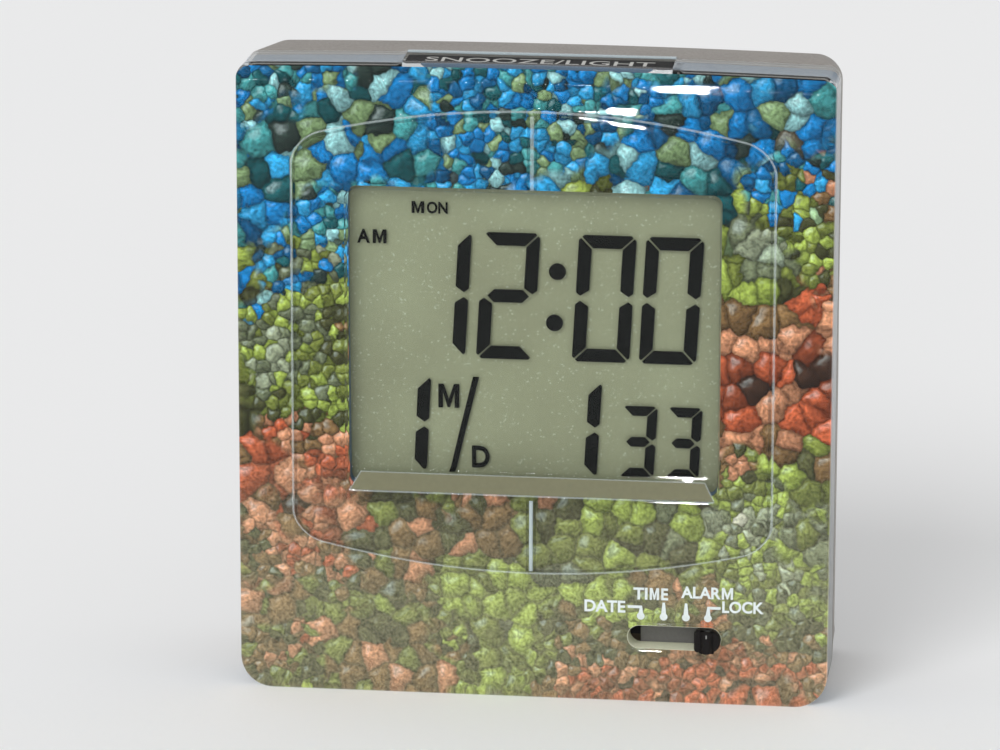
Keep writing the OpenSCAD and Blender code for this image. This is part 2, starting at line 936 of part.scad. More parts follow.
module battery_leads()
    color("red")
        in_place()
            for (z = cell_z)
                tube(bezier(
                    [tray_half - contact_plate - lead_radius - 0.02, tray_front - 1, z],
                    [tray_half - contact_plate - lead_radius - 0.02, tray_front - 2.6, z],
                    [tray_half - 6, board_back + 2.6, z + 4],
                    [tray_half - 6, board_back + lead_gap, z + 4]), lead_radius, [0, 0, 1]);

module sounder_disc()
    color("gold")
        in_place()
            rod_y(sounder_x, sounder_z, sounder_back - brass_thickness, sounder_back, sounder_radius);

module sounder_ceramic()
    color("white")
        in_place()
            rod_y(sounder_x, sounder_z, sounder_front, sounder_back - brass_thickness, ceramic_radius);

module sounder_leads()
    color("black")
        in_place() {
            tube(bezier(
                [sounder_x, sounder_front - lead_gap, sounder_z],
                [sounder_x, sounder_front - 3, sounder_z],
                [sounder_x + 5, board_back + 4, sounder_z - 8],
                [sounder_x + 5, board_back + lead_gap, sounder_z - 8]), lead_radius, [0, 0, 1]);
            tube(bezier(
                [sounder_x - 8.5, sounder_front + ceramic_thickness - lead_gap, sounder_z],
                [sounder_x - 8.5, sounder_front - 3, sounder_z],
                [sounder_x - 2, board_back + 4, sounder_z - 8],
                [sounder_x - 2, board_back + lead_gap, sounder_z - 8]), lead_radius, [0, 0, 1]);
        }

module case_screws()
    color("silver")
        in_place()
            for (side = [-1, 1])
                for (z = post_z)
                    difference() {
                        union() {
                            rod_y(side * post_x, z, screw_seat - screw_length, screw_seat, screw_shank);
                            rod_y(side * post_x, z, screw_seat, screw_seat + screw_head_height, screw_head);
                        }
                        translate([side * post_x, screw_seat, z]) {
                            block([-1.3, 1.3], [0.8, 3], [-0.3, 0.3]);
                            block([-0.3, 0.3], [0.8, 3], [-1.3, 1.3]);
                        }
                    }

front_cover();
picture_card();
main_frame();
lcd_front_polariser();
lcd_front_glass();
lcd_rear_glass();
lcd_rear_polariser();
light_guide();
reflector_sheet();
backlight_lamps();
contact_strip();
circuit_board();
clock_chip();
clock_crystal();
chip_capacitors();
chip_resistors();
switch_pads();
board_screws();
mode_knob();
mode_wiper();
snooze_bar();
snooze_switch();
snooze_plunger();
hour_button();
minute_button();
hour_plunger();
minute_plunger();
set_switches();
rear_case();
battery_door();
upper_cell();
lower_cell();
positive_contact();
negative_contact();
link_contact();
contact_springs();
battery_leads();
sounder_disc();
sounder_ceramic();
sounder_leads();
case_screws();
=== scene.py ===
"""Looks of a digital alarm clock with a clear picture front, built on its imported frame.

Sizes are millimetres: x across from the middle of the clock, y back from the flat of its
front, z up from its base. The function placed() turns them into the frame's metres.
"""

import logging
import math
from dataclasses import dataclass, field
from enum import Enum
from typing import Optional, Sequence, Union

import bmesh
import bpy
import numpy as np
from mathutils import Matrix, Vector
from mathutils.geometry import tessellate_polygon


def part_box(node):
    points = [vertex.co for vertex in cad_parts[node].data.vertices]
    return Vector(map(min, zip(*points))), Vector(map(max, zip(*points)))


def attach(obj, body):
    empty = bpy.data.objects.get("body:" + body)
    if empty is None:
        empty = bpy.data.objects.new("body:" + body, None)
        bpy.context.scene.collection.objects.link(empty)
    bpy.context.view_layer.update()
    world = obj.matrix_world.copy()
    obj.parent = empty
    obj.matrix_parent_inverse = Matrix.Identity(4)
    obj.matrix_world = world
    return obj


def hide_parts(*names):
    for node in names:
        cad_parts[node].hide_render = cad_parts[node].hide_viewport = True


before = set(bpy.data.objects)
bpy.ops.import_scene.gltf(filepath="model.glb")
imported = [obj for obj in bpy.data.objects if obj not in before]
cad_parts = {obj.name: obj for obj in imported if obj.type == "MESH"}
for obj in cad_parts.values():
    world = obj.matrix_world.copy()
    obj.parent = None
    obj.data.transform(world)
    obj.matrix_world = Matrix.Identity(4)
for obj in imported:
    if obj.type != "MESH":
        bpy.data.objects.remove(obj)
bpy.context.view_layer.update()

LOG = logging.getLogger("alarm_clock")
MM = 0.001
COVER_FACE = 2.0
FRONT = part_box("picture_card")[0].y / MM - COVER_FACE
SHARP_EDGE = math.radians(32.0)

Array = np.ndarray
Loops = Sequence[Array]
Colour = tuple[int, int, int]
Pair = tuple[float, float]
Triple = tuple[float, float, float]
Box = tuple[float, float, float, float]
Material = bpy.types.Material
Socket = bpy.types.NodeSocket


class Body(Enum):
    """The frame's moving bodies."""

    CASE = "case"
    MODE = "mode_slider"
    SNOOZE = "snooze_button"
    HOUR = "hour_setting"
    MINUTE = "minute_setting"
    DOOR = "door"


class Slot(Enum):
    """Names of material slots, one of which each new piece takes as an argument."""

    COVER = "clear_cover"
    CARD = "printed_card"
    FILM = "polariser_film"
    GLASS = "display_glass"
    BLACK = "black_plastic"
    GREY = "grey_plastic"


class BackPart(Enum):
    """The two flat parts of the rear case's back."""

    UPPER = "upper"
    HUMP = "hump"


class LampKind(Enum):
    """The kinds of studio lamp: a sun only lights, a strip is only mirrored."""

    SUN = "SUN"
    STRIP = "AREA"


class Axis(Enum):
    """The direction that an outline is carried along."""

    X = "x"
    Y = "y"
    Z = "z"


class Sum(Enum):
    """The sums that a shader works on two values."""

    ADD = "ADD"
    SUBTRACT = "SUBTRACT"
    MULTIPLY = "MULTIPLY"
    MAXIMUM = "MAXIMUM"
    ABSOLUTE = "ABSOLUTE"
    GREATER_THAN = "GREATER_THAN"


class Mode(Enum):
    """The ways to blend two colours."""

    MIX = "MIX"
    MULTIPLY = "MULTIPLY"


def placed(points: Array) -> Array:
    """Turns millimetres from the front face into metres in the frame."""
    return (points + np.array([0.0, FRONT, 0.0])) * MM


def linear(colour: Colour) -> tuple[float, float, float, float]:
    """Turns a display colour of 0 to 255 into the linear colour that a shader takes.

    Args:
        colour: Red, green and blue as seen.

    Returns:
        Linear red, green, blue and an alpha of 1.
    """
    part = np.array(colour, dtype=float) / 255.0
    lit = np.where(part <= 0.04045, part / 12.92, ((part + 0.055) / 1.055) ** 2.4)
    return (*lit.tolist(), 1.0)


def toned(colour: Colour, share: float) -> Colour:
    """Multiplies each part of a display colour by a share, up to 255."""
    return tuple(int(part) for part in np.minimum(np.array(colour, dtype=float) * share, 255.0))


def ease(low: float, high: float, value: Array) -> Array:
    """Rises from 0 at low to 1 at high along the curve 3t squared less 2t cubed."""
    t = np.clip((value - low) / (high - low), 0.0, 1.0)
    return t * t * (3.0 - 2.0 * t)


def rounding(steps: int) -> Array:
    """Gives how far a quarter round at a turn a is drawn in, 1 - sin a, and set back, 1 - cos a."""
    a = np.linspace(0.0, math.pi / 2.0, steps + 1)
    return np.stack([1.0 - np.sin(a), 1.0 - np.cos(a)], axis=1)


def outward(outline: Array) -> Array:
    """Gives the normals of a closed outline, square to the line between a point's neighbours.

    Args:
        outline: Rows of two coordinates.

    Returns:
        Rows of the unit normal that points out of the outline.
    """
    ahead = np.roll(outline, -1, axis=0) - np.roll(outline, 1, axis=0)
    ahead /= np.linalg.norm(ahead, axis=1, keepdims=True)
    area = np.sum(outline[:, 0] * np.roll(outline[:, 1], -1)
                  - outline[:, 1] * np.roll(outline[:, 0], -1))
    return np.stack([ahead[:, 1], -ahead[:, 0]], axis=1) * np.sign(area)


class Shell:
    """Collects patches of a surface and joins them wherever their points meet."""

    def __init__(self) -> None:
        """Starts with no points and no faces."""
        self.points: list[Array] = []
        self.faces: list[list[int]] = []
        self.count = 0

    def patch(self, points: Array, faces: Union[Array, Sequence[Sequence[int]]]) -> None:
        """Adds points with faces that index them.

        Args:
            points: Rows of x, y, z in millimetres.
            faces: Rows of indices into those points.
        """
        shift = self.count
        self.points.append(np.asarray(points, dtype=float).reshape(-1, 3))
        self.count += len(self.points[-1])
        if isinstance(faces, np.ndarray):
            self.faces.extend((faces + shift).tolist())
        else:
            self.faces.extend([[shift + i for i in face] for face in faces])

    def rings(self, rings: Array, keep: Optional[Array] = None) -> None:
        """Adds the quads between closed rings that follow one another.

        Args:
            rings: Array of ring, point and coordinate.
            keep: True for each quad that stays, by ring and point.
        """
        rows, cols = rings.shape[:2]
        index = np.arange(rows * cols).reshape(rows, cols)
        ahead = np.roll(index, -1, axis=1)
        quads = np.stack([index[:-1], ahead[:-1], ahead[1:], index[1:]], axis=-1)
        self.patch(rings.reshape(-1, 3), quads[keep] if keep is not None else quads.reshape(-1, 4))

    def strip(self, first: Array, second: Array) -> None:
        """Adds the quads between two open lines of as many points.

        Args:
            first: Rows of x, y, z.
            second: Rows of x, y, z, one for each row of the first.
        """
        size = len(first)
        low = np.arange(size - 1)
        quads = np.stack([low, low + 1, low + size + 1, low + size], axis=-1)
        self.patch(np.concatenate([first, second]), quads)

    def cap(self, ring: Array) -> None:
        """Adds one flat face inside a ring."""
        self.patch(ring, [list(range(len(ring)))])

    def cup(self, rings: Array) -> None:
        """Adds rings with a flat face in the last."""
        self.rings(rings)
        self.cap(rings[-1])

    def closed(self, rings: Array) -> None:
        """Adds rings with a flat face at each end."""
        self.cup(rings)
        self.cap(rings[0])

    def plate(self, loops: Loops) -> None:
        """Adds a flat face inside its outer loop, with a hole for each loop after that."""
        vectors = [[Vector(p) for p in loop] for loop in loops]
        self.patch(np.concatenate(list(loops)), [list(t) for t in tessellate_polygon(vectors)])

    def prism(self, outline: Array, span: Pair, axis: Axis, soft: Pair = (0.0, 0.0),
              steps: int = 4) -> None:
        """Adds an outline carried along an axis, with each end's edge rounded.

        In a rounding of radius r the outline is drawn in along its normals and set in from
        the end by r times what rounding() gives.

        Args:
            outline: Rows of the two other coordinates, in x, y, z order.
            span: Where the prism starts and ends.
            axis: Direction that the outline is carried along.
            soft: Radius of the rounding at each end.
            steps: Number of steps in a rounding.
        """
        drawn, back = rounding(steps).T
        inset = np.concatenate([soft[0] * drawn, soft[1] * drawn[::-1]])
        depth = np.concatenate([span[0] + soft[0] * back, span[1] - soft[1] * back[::-1]])
        flat = outline[None] - outward(outline)[None] * inset[:, None, None]
        along = np.broadcast_to(depth[:, None], flat.shape[:2])
        order = {Axis.X: [along, flat[..., 0], flat[..., 1]],
                 Axis.Y: [flat[..., 0], along, flat[..., 1]],
                 Axis.Z: [flat[..., 0], flat[..., 1], along]}[axis]
        self.closed(np.stack(order, axis=-1))

    def block(self, corners: Sequence[Pair], radii: Union[float, Sequence[float]], span: Pair,
              axis: Axis, soft: Pair, steps: tuple[int, int] = (5, 4)) -> None:
        """Adds a prism of a polygon with rounded corners, in steps for a corner and for an end."""
        self.prism(filleted(corners, radii, steps[0]), span, axis, soft, steps[1])

    def mesh(self, name: str) -> bpy.types.Mesh:
        """Joins the patches into one mesh whose faces point outwards.

        Args:
            name: Name of the mesh.

        Returns:
            The mesh, placed in the frame.
        """
        points = np.concatenate(self.points)
        _, first, where = np.unique(np.round(points, 4), axis=0, return_index=True, return_inverse=True)
        where = where.reshape(-1)
        faces = [list(dict.fromkeys(where[face].tolist())) for face in self.faces]
        mesh = bpy.data.meshes.new(name)
        mesh.from_pydata(placed(points[first]).tolist(), [], [f for f in faces if len(f) > 2])
        mesh.validate()
        build = bmesh.new()
        build.from_mesh(mesh)
        bmesh.ops.recalc_face_normals(build, faces=build.faces)
        build.to_mesh(mesh)
        build.free()
        mesh.shade_smooth()
        mesh.set_sharp_from_angle(angle=SHARP_EDGE)
        return mesh

    def piece(self, name: str, body: Body, slot: Slot, finish: Material,
              *instead_of: str) -> bpy.types.Object:
        """Makes an object of the surface, hangs it on its body and hides the frame nodes that it replaces.

        Args:
            name: Name of the piece.
            body: Body that it moves with.
            slot: Material slot that it belongs to; not used.
            finish: Its material.
            instead_of: Frame nodes that it replaces.

        Returns:
            The object, at the origin.
        """
        mesh = self.mesh(name)
        made = bpy.data.objects.new(name, mesh)
        bpy.context.scene.collection.objects.link(made)
        mesh.materials.append(finish)
        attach(made, body.value)
        if instead_of:
            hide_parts(*instead_of)
        LOG.info("%s: %d faces on %s", name, len(mesh.polygons), body.value)
        return made


# Outlines in two coordinates

CORNER_STEPS = 12
LEAST_CORNER = 0.3
TOP_STRAIGHT = 39.2
NOTCH_HALF = 18.5
ACROSS_MM = np.concatenate([[TOP_STRAIGHT, 35.0, 30.0, 25.0, 21.0, 20.5, 20.1, 19.8, 19.5, 19.0],
                            np.linspace(NOTCH_HALF, 0.0, 9)])
ACROSS = np.concatenate([-ACROSS_MM, ACROSS_MM[-2::-1]]) / TOP_STRAIGHT
HUMP_TURN = np.linspace(0.0, math.atan2(6.0, 10.0), 7)
# Where the slope of the hump starts and ends, and the radius of each turn
HUMP_CREST, HUMP_CREST_ROUND = 40.12, 3.0
HUMP_FOOT, HUMP_FOOT_ROUND = 52.06, 4.0
HUMP_LEVELS = np.concatenate([HUMP_CREST + HUMP_CREST_ROUND * np.sin(HUMP_TURN),
                              HUMP_FOOT - HUMP_FOOT_ROUND * np.sin(HUMP_TURN[::-1])])
SIDE_LOW, SIDE_HIGH = 4.5, 87.3
UP = (np.concatenate([[SIDE_LOW], HUMP_LEVELS, [SIDE_HIGH]]) - SIDE_LOW) / (SIDE_HIGH - SIDE_LOW)
TOP_START = len(ACROSS) + len(UP) + 2 * CORNER_STEPS


def rounded_rect(half: float, low: float, high: float, r_low: float, r_high: float,
                 levels: Optional[Array] = None) -> tuple[Array, Array]:
    """Gives a rectangle with quarter-circle corners, from its lower left round by the right.

    Every outline has as many points on each side and corner, so any two can be lofted.

    Args:
        half: Half its width.
        low: Height of its lower side.
        high: Height of its upper side.
        r_low: Radius of the lower corners.
        r_high: Radius of the upper corners.
        levels: Heights of the points between the ends of a side, or None for even shares.

    Returns:
        Rows of x and z, and the outward normal at each.
    """
    a = np.linspace(0.0, math.pi / 2.0, CORNER_STEPS + 2)[1:-1]
    c, s = np.cos(a), np.sin(a)
    in_low, in_high = half - r_low, half - r_high
    up_low, up_high = low + r_low, high - r_high
    rise = up_low + UP * (high - r_high - low - r_low)
    if levels is not None:
        rise[1:-1] = levels
    zero, one = np.zeros(len(ACROSS)), np.ones(len(ACROSS))
    still, out = np.zeros(len(UP)), np.ones(len(UP))
    x = np.concatenate([ACROSS * in_low, in_low + r_low * s, out * half, in_high + r_high * c,
                        ACROSS[::-1] * in_high, -in_high - r_high * s, -out * half, -in_low - r_low * c])
    z = np.concatenate([one * low, up_low - r_low * c, rise, up_high + r_high * s,
                        one * high, up_high + r_high * c, rise[::-1], up_low - r_low * s])
    nx = np.concatenate([zero, s, out, c, zero, -s, -out, -c])
    nz = np.concatenate([-one, -c, still, s, one, c, still, -s])
    return np.stack([x, z], axis=1), np.stack([nx, nz], axis=1)


def box_corners(left: float, right: float, low: float, high: float) -> list[Pair]:
    """Gives a box's corners from its lower left round by the right."""
    return [(left, low), (right, low), (right, high), (left, high)]


def filleted(corners: Sequence[Pair], radii: Union[float, Sequence[float]], steps: int) -> Array:
    """Gives a closed polygon whose corners are arcs that touch both their sides.

    Args:
        corners: The polygon's corners in order.
        radii: Radius of every corner, or of each, with 0 for a sharp one.
        steps: Number of steps in an arc.

    Returns:
        Rows of two coordinates.
    """
    p = np.array(corners, dtype=float)
    r = np.broadcast_to(np.asarray(radii, dtype=float), len(p))
    to_last = np.roll(p, 1, axis=0) - p
    to_next = np.roll(p, -1, axis=0) - p
    to_last /= np.linalg.norm(to_last, axis=1, keepdims=True)
    to_next /= np.linalg.norm(to_next, axis=1, keepdims=True)
    half = np.arccos(np.clip(np.sum(to_last * to_next, axis=1), -1, 1)) / 2.0
    middle = to_last + to_next
    middle /= np.linalg.norm(middle, axis=1, keepdims=True)
    centre = p + middle * (r / np.sin(half))[:, None]
    start = p + to_last * (r / np.tan(half))[:, None] - centre
    sweep = math.pi - 2.0 * half
    sign = np.sign(-to_last[:, 0] * to_next[:, 1] + to_last[:, 1] * to_next[:, 0])
    t = np.linspace(0.0, 1.0, steps + 1)[None] * (sweep * sign)[:, None]
    cos, sin = np.cos(t), np.sin(t)
    arc = np.stack([start[:, :1] * cos - start[:, 1:] * sin,
                    start[:, :1] * sin + start[:, 1:] * cos], axis=-1) + centre[:, None]
    flat = arc.reshape(-1, 2)
    keep = np.linalg.norm(flat - np.roll(flat, 1, axis=0), axis=1) > 1e-6
    return flat[keep]


def ring_of(radius: float, centre: Pair, sides: int) -> Array:
    """Gives a circle in x and z as rows of points."""
    a = np.arange(sides) * (2.0 * math.pi / sides)
    return np.stack([centre[0] + radius * np.cos(a), centre[1] + radius * np.sin(a)], axis=1)


def at_depth(flat: Array, depth: Union[float, Array]) -> Array:
    """Puts rows of x and z at a depth y."""
    return np.stack([flat[:, 0], np.broadcast_to(depth, len(flat)), flat[:, 1]], axis=1)


def turned(profile: Sequence[Pair], centre: Pair, sides: int) -> Array:
    """Carries a profile of radius and depth round an axis that runs from front to back."""
    return np.stack([at_depth(ring_of(r, centre, sides), y) for r, y in profile])


def capsule(centre: Pair, length: float, height: float, grow: float = 0.0, steps: int = 16) -> Array:
    """Gives a slot with half-round ends.

    Args:
        centre: Its middle in x and z.
        length: Its whole length.
        height: Its height.
        grow: How far it is widened all round.
        steps: Number of steps in each half circle.

    Returns:
        Rows of x and z.
    """
    r = height / 2.0 + grow
    reach = (length - height) / 2.0
    a = np.linspace(-math.pi / 2.0, math.pi / 2.0, steps + 1)
    x = np.concatenate([reach + r * np.cos(a), -reach - r * np.cos(a)])
    z = np.concatenate([r * np.sin(a), -r * np.sin(a)])
    return np.stack([centre[0] + x, centre[1] + z], axis=1)


def lettering(text: str, box: Box, weight: float) -> tuple[Array, list[list[int]]]:
    """Draws plain capitals as a flat mesh that fills a box.

    Args:
        text: The letters.
        box: Left, right, lower and upper edge.
        weight: How much the strokes are thickened, as a part of the letter size.

    Returns:
        Rows of two coordinates, and the faces that index them.
    """
    curve = bpy.data.curves.new("letters", "FONT")
    curve.body = text
    curve.offset = weight
    curve.resolution_u = 4
    holder = bpy.data.objects.new("letters", curve)
    bpy.context.scene.collection.objects.link(holder)
    drawn = holder.to_mesh(depsgraph=bpy.context.evaluated_depsgraph_get())
    flat = np.zeros(len(drawn.vertices) * 3)
    drawn.vertices.foreach_get("co", flat)
    flat = flat.reshape(-1, 3)[:, :2]
    faces = [list(p.vertices) for p in drawn.polygons]
    holder.to_mesh_clear()
    bpy.data.objects.remove(holder)
    bpy.data.curves.remove(curve)
    low, high = flat.min(axis=0), flat.max(axis=0)
    corner = np.array([box[0], box[2]])
    size = np.array([box[1] - box[0], box[3] - box[2]])
    return (flat - low) / (high - low) * size + corner, faces


def bold_m(box: Box, stroke: float) -> Array:
    """Draws a bold letter M as one outline.

    Args:
        box: Left, right, lower and upper edge.
        stroke: Width of its uprights.

    Returns:
        Rows of two coordinates.
    """
    left, right, low, high = box
    middle, tall, slant, tip = (left + right) / 2.0, high - low, stroke * 1.15, 0.28 * stroke
    crotch, foot, arm = low + 0.38 * tall, low + 0.02 * tall, high - 0.36 * tall
    return np.array([(left, low), (left, high), (left + slant, high), (middle, crotch),
                     (right - slant, high), (right, high), (right, low), (right - stroke, low),
                     (right - stroke, arm), (middle + tip, foot), (middle - tip, foot),
                     (left + stroke, arm), (left + stroke, low)])


# Materials

class Graph:
    """A material's nodes, with short calls for the ones that the finishes use."""

    NOISE_RANGE = (0.3, 0.7)

    def __init__(self, name: str) -> None:
        """Starts a material with a surface shader on its output.

        Args:
            name: Name of the material.
        """
        self.material = bpy.data.materials.new(name)
        self.material.use_nodes = True
        self.nodes = self.material.node_tree.nodes
        self.links = self.material.node_tree.links
        self.nodes.clear()
        self.output = self.nodes.new("ShaderNodeOutputMaterial")
        self.shader = self.nodes.new("ShaderNodeBsdfPrincipled")
        self.links.new(self.shader.outputs[0], self.output.inputs[0])

    def add(self, kind: str, inputs: dict, out: Union[int, str] = 0, **settings: object) -> Socket:
        """Adds a node, sets it up and links it.

        Args:
            kind: Node type after the words ShaderNode.
            inputs: Value or socket for each input, by its number or name.
            out: Number or name of the output wanted.
            settings: The node's own properties.

        Returns:
            The output socket.
        """
        node = self.nodes.new("ShaderNode" + kind)
        for name, value in settings.items():
            setattr(node, name, value)
        self.feed(node, inputs)
        return node.outputs[out]

    def feed(self, node: bpy.types.Node, inputs: dict) -> None:
        """Sets or links a node's inputs.

        Args:
            node: The node.
            inputs: Value or socket for each input, by its number or name.
        """
        for key, value in inputs.items():
            if isinstance(value, Socket):
                self.links.new(value, node.inputs[key])
            else:
                node.inputs[key].default_value = value

    def millimetres(self) -> Socket:
        """Gives the object's own coordinates in millimetres."""
        return self.scaled(self.add("TexCoord", {}, "Object"), 1.0 / MM)

    def scaled(self, place: Socket, factor: float) -> Socket:
        """Multiplies coordinates by a factor."""
        return self.add("VectorMath", {0: place, "Scale": factor}, operation="SCALE")

    def moved(self, place: Socket, step: Union[Triple, Socket]) -> Socket:
        """Adds a step to coordinates."""
        return self.add("VectorMath", {0: place, 1: step}, operation="ADD")

    def noise(self, place: Socket, scale: float, detail: float, out: int = 0) -> Socket:
        """Gives the value of cloudy noise, with scale clouds in a millimetre, or its colour, out 1."""
        return self.add("TexNoise", {"Vector": place, "Scale": scale, "Detail": detail}, out)

    def span(self, value: Socket, low: float, high: float, to_low: float = 0.0,
             to_high: float = 1.0) -> Socket:
        """Maps the range from low to high of a value to another, and stops at its ends."""
        return self.add("MapRange", {0: value, 1: low, 2: high, 3: to_low, 4: to_high})

    def cloudy(self, noise: Socket, to_low: float = 0.0, to_high: float = 1.0) -> Socket:
        """Maps the range in which most of a noise lies."""
        return self.span(noise, *self.NOISE_RANGE, to_low, to_high)

    def maths(self, operation: Sum, first: object, second: object) -> Socket:
        """Works one sum on two values."""
        return self.add("Math", {0: first, 1: second}, operation=operation.value)

    def blend(self, factor: object, first: object, second: object, mode: Mode = Mode.MIX) -> Socket:
        """Blends two colours, with the factor as the share of the second."""
        return self.add("Mix", {0: factor, 6: first, 7: second}, 2, data_type="RGBA",
                        blend_type=mode.value)

    def shaded(self, colour: Socket, shade: Socket) -> Socket:
        """Multiplies a colour by a grey."""
        grey = self.add("CombineColor", {0: shade, 1: shade, 2: shade})
        return self.blend(1.0, colour, grey, Mode.MULTIPLY)

    def bands(self, value: Socket, stops: Sequence[tuple[float, Colour]]) -> Socket:
        """Colours a value by a row of colours with hard edges.

        Args:
            value: The value, from 0 to 1.
            stops: Place and colour of each stop.

        Returns:
            The colour.
        """
        node = self.nodes.new("ShaderNodeValToRGB")
        node.color_ramp.interpolation = "CONSTANT"
        row = node.color_ramp.elements
        while len(row) < len(stops):
            row.new(0.5)
        for element, (place, _) in zip(row, stops):
            element.position = place
        for element, (_, colour) in zip(row, stops):
            element.color = linear(colour)
        self.links.new(value, node.inputs[0])
        return node.outputs[0]

    def relief(self, height: Socket, depth: float, strength: float) -> None:
        """Bumps the surface by a height map, with a depth in millimetres."""
        normal = self.add("Bump", {"Strength": strength, "Distance": depth * MM, "Height": height})
        self.links.new(normal, self.shader.inputs["Normal"])

    def let_lamps_through(self, tint: Colour) -> None:
        """Lets lamps shine through the surface, and the light that what is behind it returns.

        Args:
            tint: Colour that the light takes.
        """
        shadow = self.add("LightPath", {}, "Is Shadow Ray")
        path = shadow.node.outputs
        behind = self.maths(Sum.GREATER_THAN, path["Transmission Depth"], 1.5)
        glancing = self.maths(Sum.MULTIPLY, path["Is Glossy Ray"], behind)
        back = self.maths(Sum.MAXIMUM, path["Is Diffuse Ray"], glancing)
        through = self.maths(Sum.MAXIMUM, shadow, back)
        clear = self.add("BsdfTransparent", {0: linear(tint)})
        both = self.add("MixShader", {0: through, 1: self.shader.outputs[0], 2: clear})
        self.links.new(both, self.output.inputs[0])


@dataclass(frozen=True)
class Finish:
    """A look that is laid on one material."""

    name: str

    def paint(self, g: Graph, place: Socket) -> None:
        """Lays the look. Each kind of finish has its own way."""
        raise NotImplementedError

    def make(self) -> Material:
        """Builds the material.

        Returns:
            The material.
        """
        g = Graph(self.name)
        self.paint(g, g.millimetres())
        return g.material


@dataclass(frozen=True)
class MouldedPlastic(Finish):
    """Opaque moulded plastic with a fine spark-eroded grain and slight unevenness of tone."""

    colour: Colour
    roughness: float = 0.42
    grain: float = 2.6
    depth: float = 0.012
    unevenness: float = 0.04
    level: float = 0.3

    def paint(self, g: Graph, place: Socket) -> None:
        """Lays cloudy tones and a fine grain.

        Args:
            g: The material's nodes.
            place: Millimetres on the piece.
        """
        cloud = g.noise(place, 0.09, 4.0)
        fine = g.noise(place, self.grain, 3.0)
        dark = linear(toned(self.colour, 1.0 - self.unevenness))
        pale = linear(toned(self.colour, 1.0 + self.unevenness))
        colour = g.blend(g.cloudy(cloud), dark, pale)
        colour = g.blend(g.span(fine, 0.35, 0.75, 0.0, 0.12), colour, dark, Mode.MULTIPLY)
        g.feed(g.shader, {"Base Color": colour, "IOR": 1.5, "Specular IOR Level": self.level,
                          "Roughness": g.cloudy(fine, self.roughness - 0.06, self.roughness + 0.1)})
        g.relief(fine, self.depth, 0.6)


@dataclass(frozen=True)
class PlatedMetal(Finish):
    """Plated sheet or wire with drawing marks and dull patches."""

    colour: Colour
    roughness: float = 0.28
    stretch: Triple = (0.5, 3.0, 3.0)
    dulling: float = 0.78

    def paint(self, g: Graph, place: Socket) -> None:
        """Lays dull patches, and marks that are drawn out along x.

        Args:
            g: The material's nodes.
            place: Millimetres on the piece.
        """
        drawn = g.add("Mapping", {0: place, 3: self.stretch})
        marks = g.noise(drawn, 1.6, 4.0)
        patch = g.span(g.noise(place, 0.3, 3.0), 0.35, 0.75)
        colour = g.blend(patch, linear(self.colour), linear(toned(self.colour, self.dulling)))
        g.feed(g.shader, {"Base Color": colour, "Metallic": 1.0,
                          "Roughness": g.cloudy(marks, self.roughness - 0.08, self.roughness + 0.14)})
        g.relief(marks, 0.006, 0.5)


@dataclass(frozen=True)
class ClearPlastic(Finish):
    """Clear moulded plastic with faint ripple, rubbed patches and matt outer sides, which lets
    lamps through."""

    tint: Colour = (250, 253, 254)
    ior: float = 1.2
    level: float = 0.07
    roughness: float = 0.015
    side: float = 40.85
    side_roughness: float = 0.3

    def paint(self, g: Graph, place: Socket) -> None:
        """Lays the ripple, the rubbed patches and the matt sides.

        Args:
            g: The material's nodes.
            place: Millimetres on the piece.
        """
        ripple = g.noise(place, 0.12, 2.0)
        rub = g.noise(place, 0.7, 5.0)
        faint = linear(toned(self.tint, 0.985))
        across = g.maths(Sum.ABSOLUTE, g.add("SeparateXYZ", {0: place}, 0), 0.0)
        matt = g.span(across, self.side, self.side + 0.1, 0.0, self.side_roughness)
        rubbed = g.span(rub, 0.45, 0.8, self.roughness, self.roughness + 0.03)
        g.feed(g.shader, {
            "Base Color": g.blend(g.span(ripple, 0.35, 0.65), linear(self.tint), faint),
            "Transmission Weight": 1.0, "IOR": self.ior, "Specular IOR Level": self.level,
            "Roughness": g.maths(Sum.MAXIMUM, matt, rubbed)})
        g.relief(ripple, 0.01, 0.25)
        g.let_lamps_through(self.tint)


@dataclass(frozen=True)
class ClearFilm(Finish):
    """Thin clear layer or edge: seen through, with its own faint tint and gloss."""

    tint: Colour
    cover: float
    roughness: float = 0.12
    level: float = 0.1

    def paint(self, g: Graph, place: Socket) -> None:
        """Lays a thin tint with slight unevenness."""
        fine = g.noise(place, 1.4, 3.0)
        g.feed(g.shader, {
            "Base Color": g.blend(fine, linear(self.tint), linear(toned(self.tint, 0.93))),
            "Alpha": self.cover, "Specular IOR Level": self.level,
            "Roughness": g.cloudy(fine, self.roughness - 0.03, self.roughness + 0.05)})


@dataclass(frozen=True)
class DisplayGround(Finish):
    """Grey-green ground of the display, with flakes of its reflecting film in varied tones and painted
    glints on a few of them.
    """

    dark: Colour = (144, 143, 113)
    pale: Colour = (156, 157, 125)
    dull_flake: Colour = (112, 116, 96)
    painted_glint_flake: Colour = (210, 212, 188)
    flakes: float = 4.5
    glitter: float = 0.36

    def paint(self, g: Graph, place: Socket) -> None:
        """Lays flakes over cloudy tones, with a few painted bright as glints.

        Args:
            g: The material's nodes.
            place: Millimetres on the piece.
        """
        colour = g.blend(g.cloudy(g.noise(place, 0.05, 2.0)), linear(self.dark), linear(self.pale))
        flake = g.add("TexVoronoi", {"Vector": place, "Scale": self.flakes}, "Color")
        pick = g.add("SeparateColor", {0: flake}, 0)
        colour = g.blend(g.span(pick, 0.0, 1.0, 0.0, 0.18), colour, linear(self.dull_flake))
        # Painted glints: the brightest few flakes are painted pale, standing in for the glitter they catch.
        bright = g.maths(Sum.MULTIPLY, g.span(pick, 0.95, 0.98), self.glitter)
        colour = g.blend(bright, colour, linear(self.painted_glint_flake))
        g.feed(g.shader, {"Base Color": colour, "Roughness": g.span(pick, 0.0, 1.0, 0.42, 0.6),
                          "Specular IOR Level": 0.2})
        g.relief(pick, 0.01, 0.3)


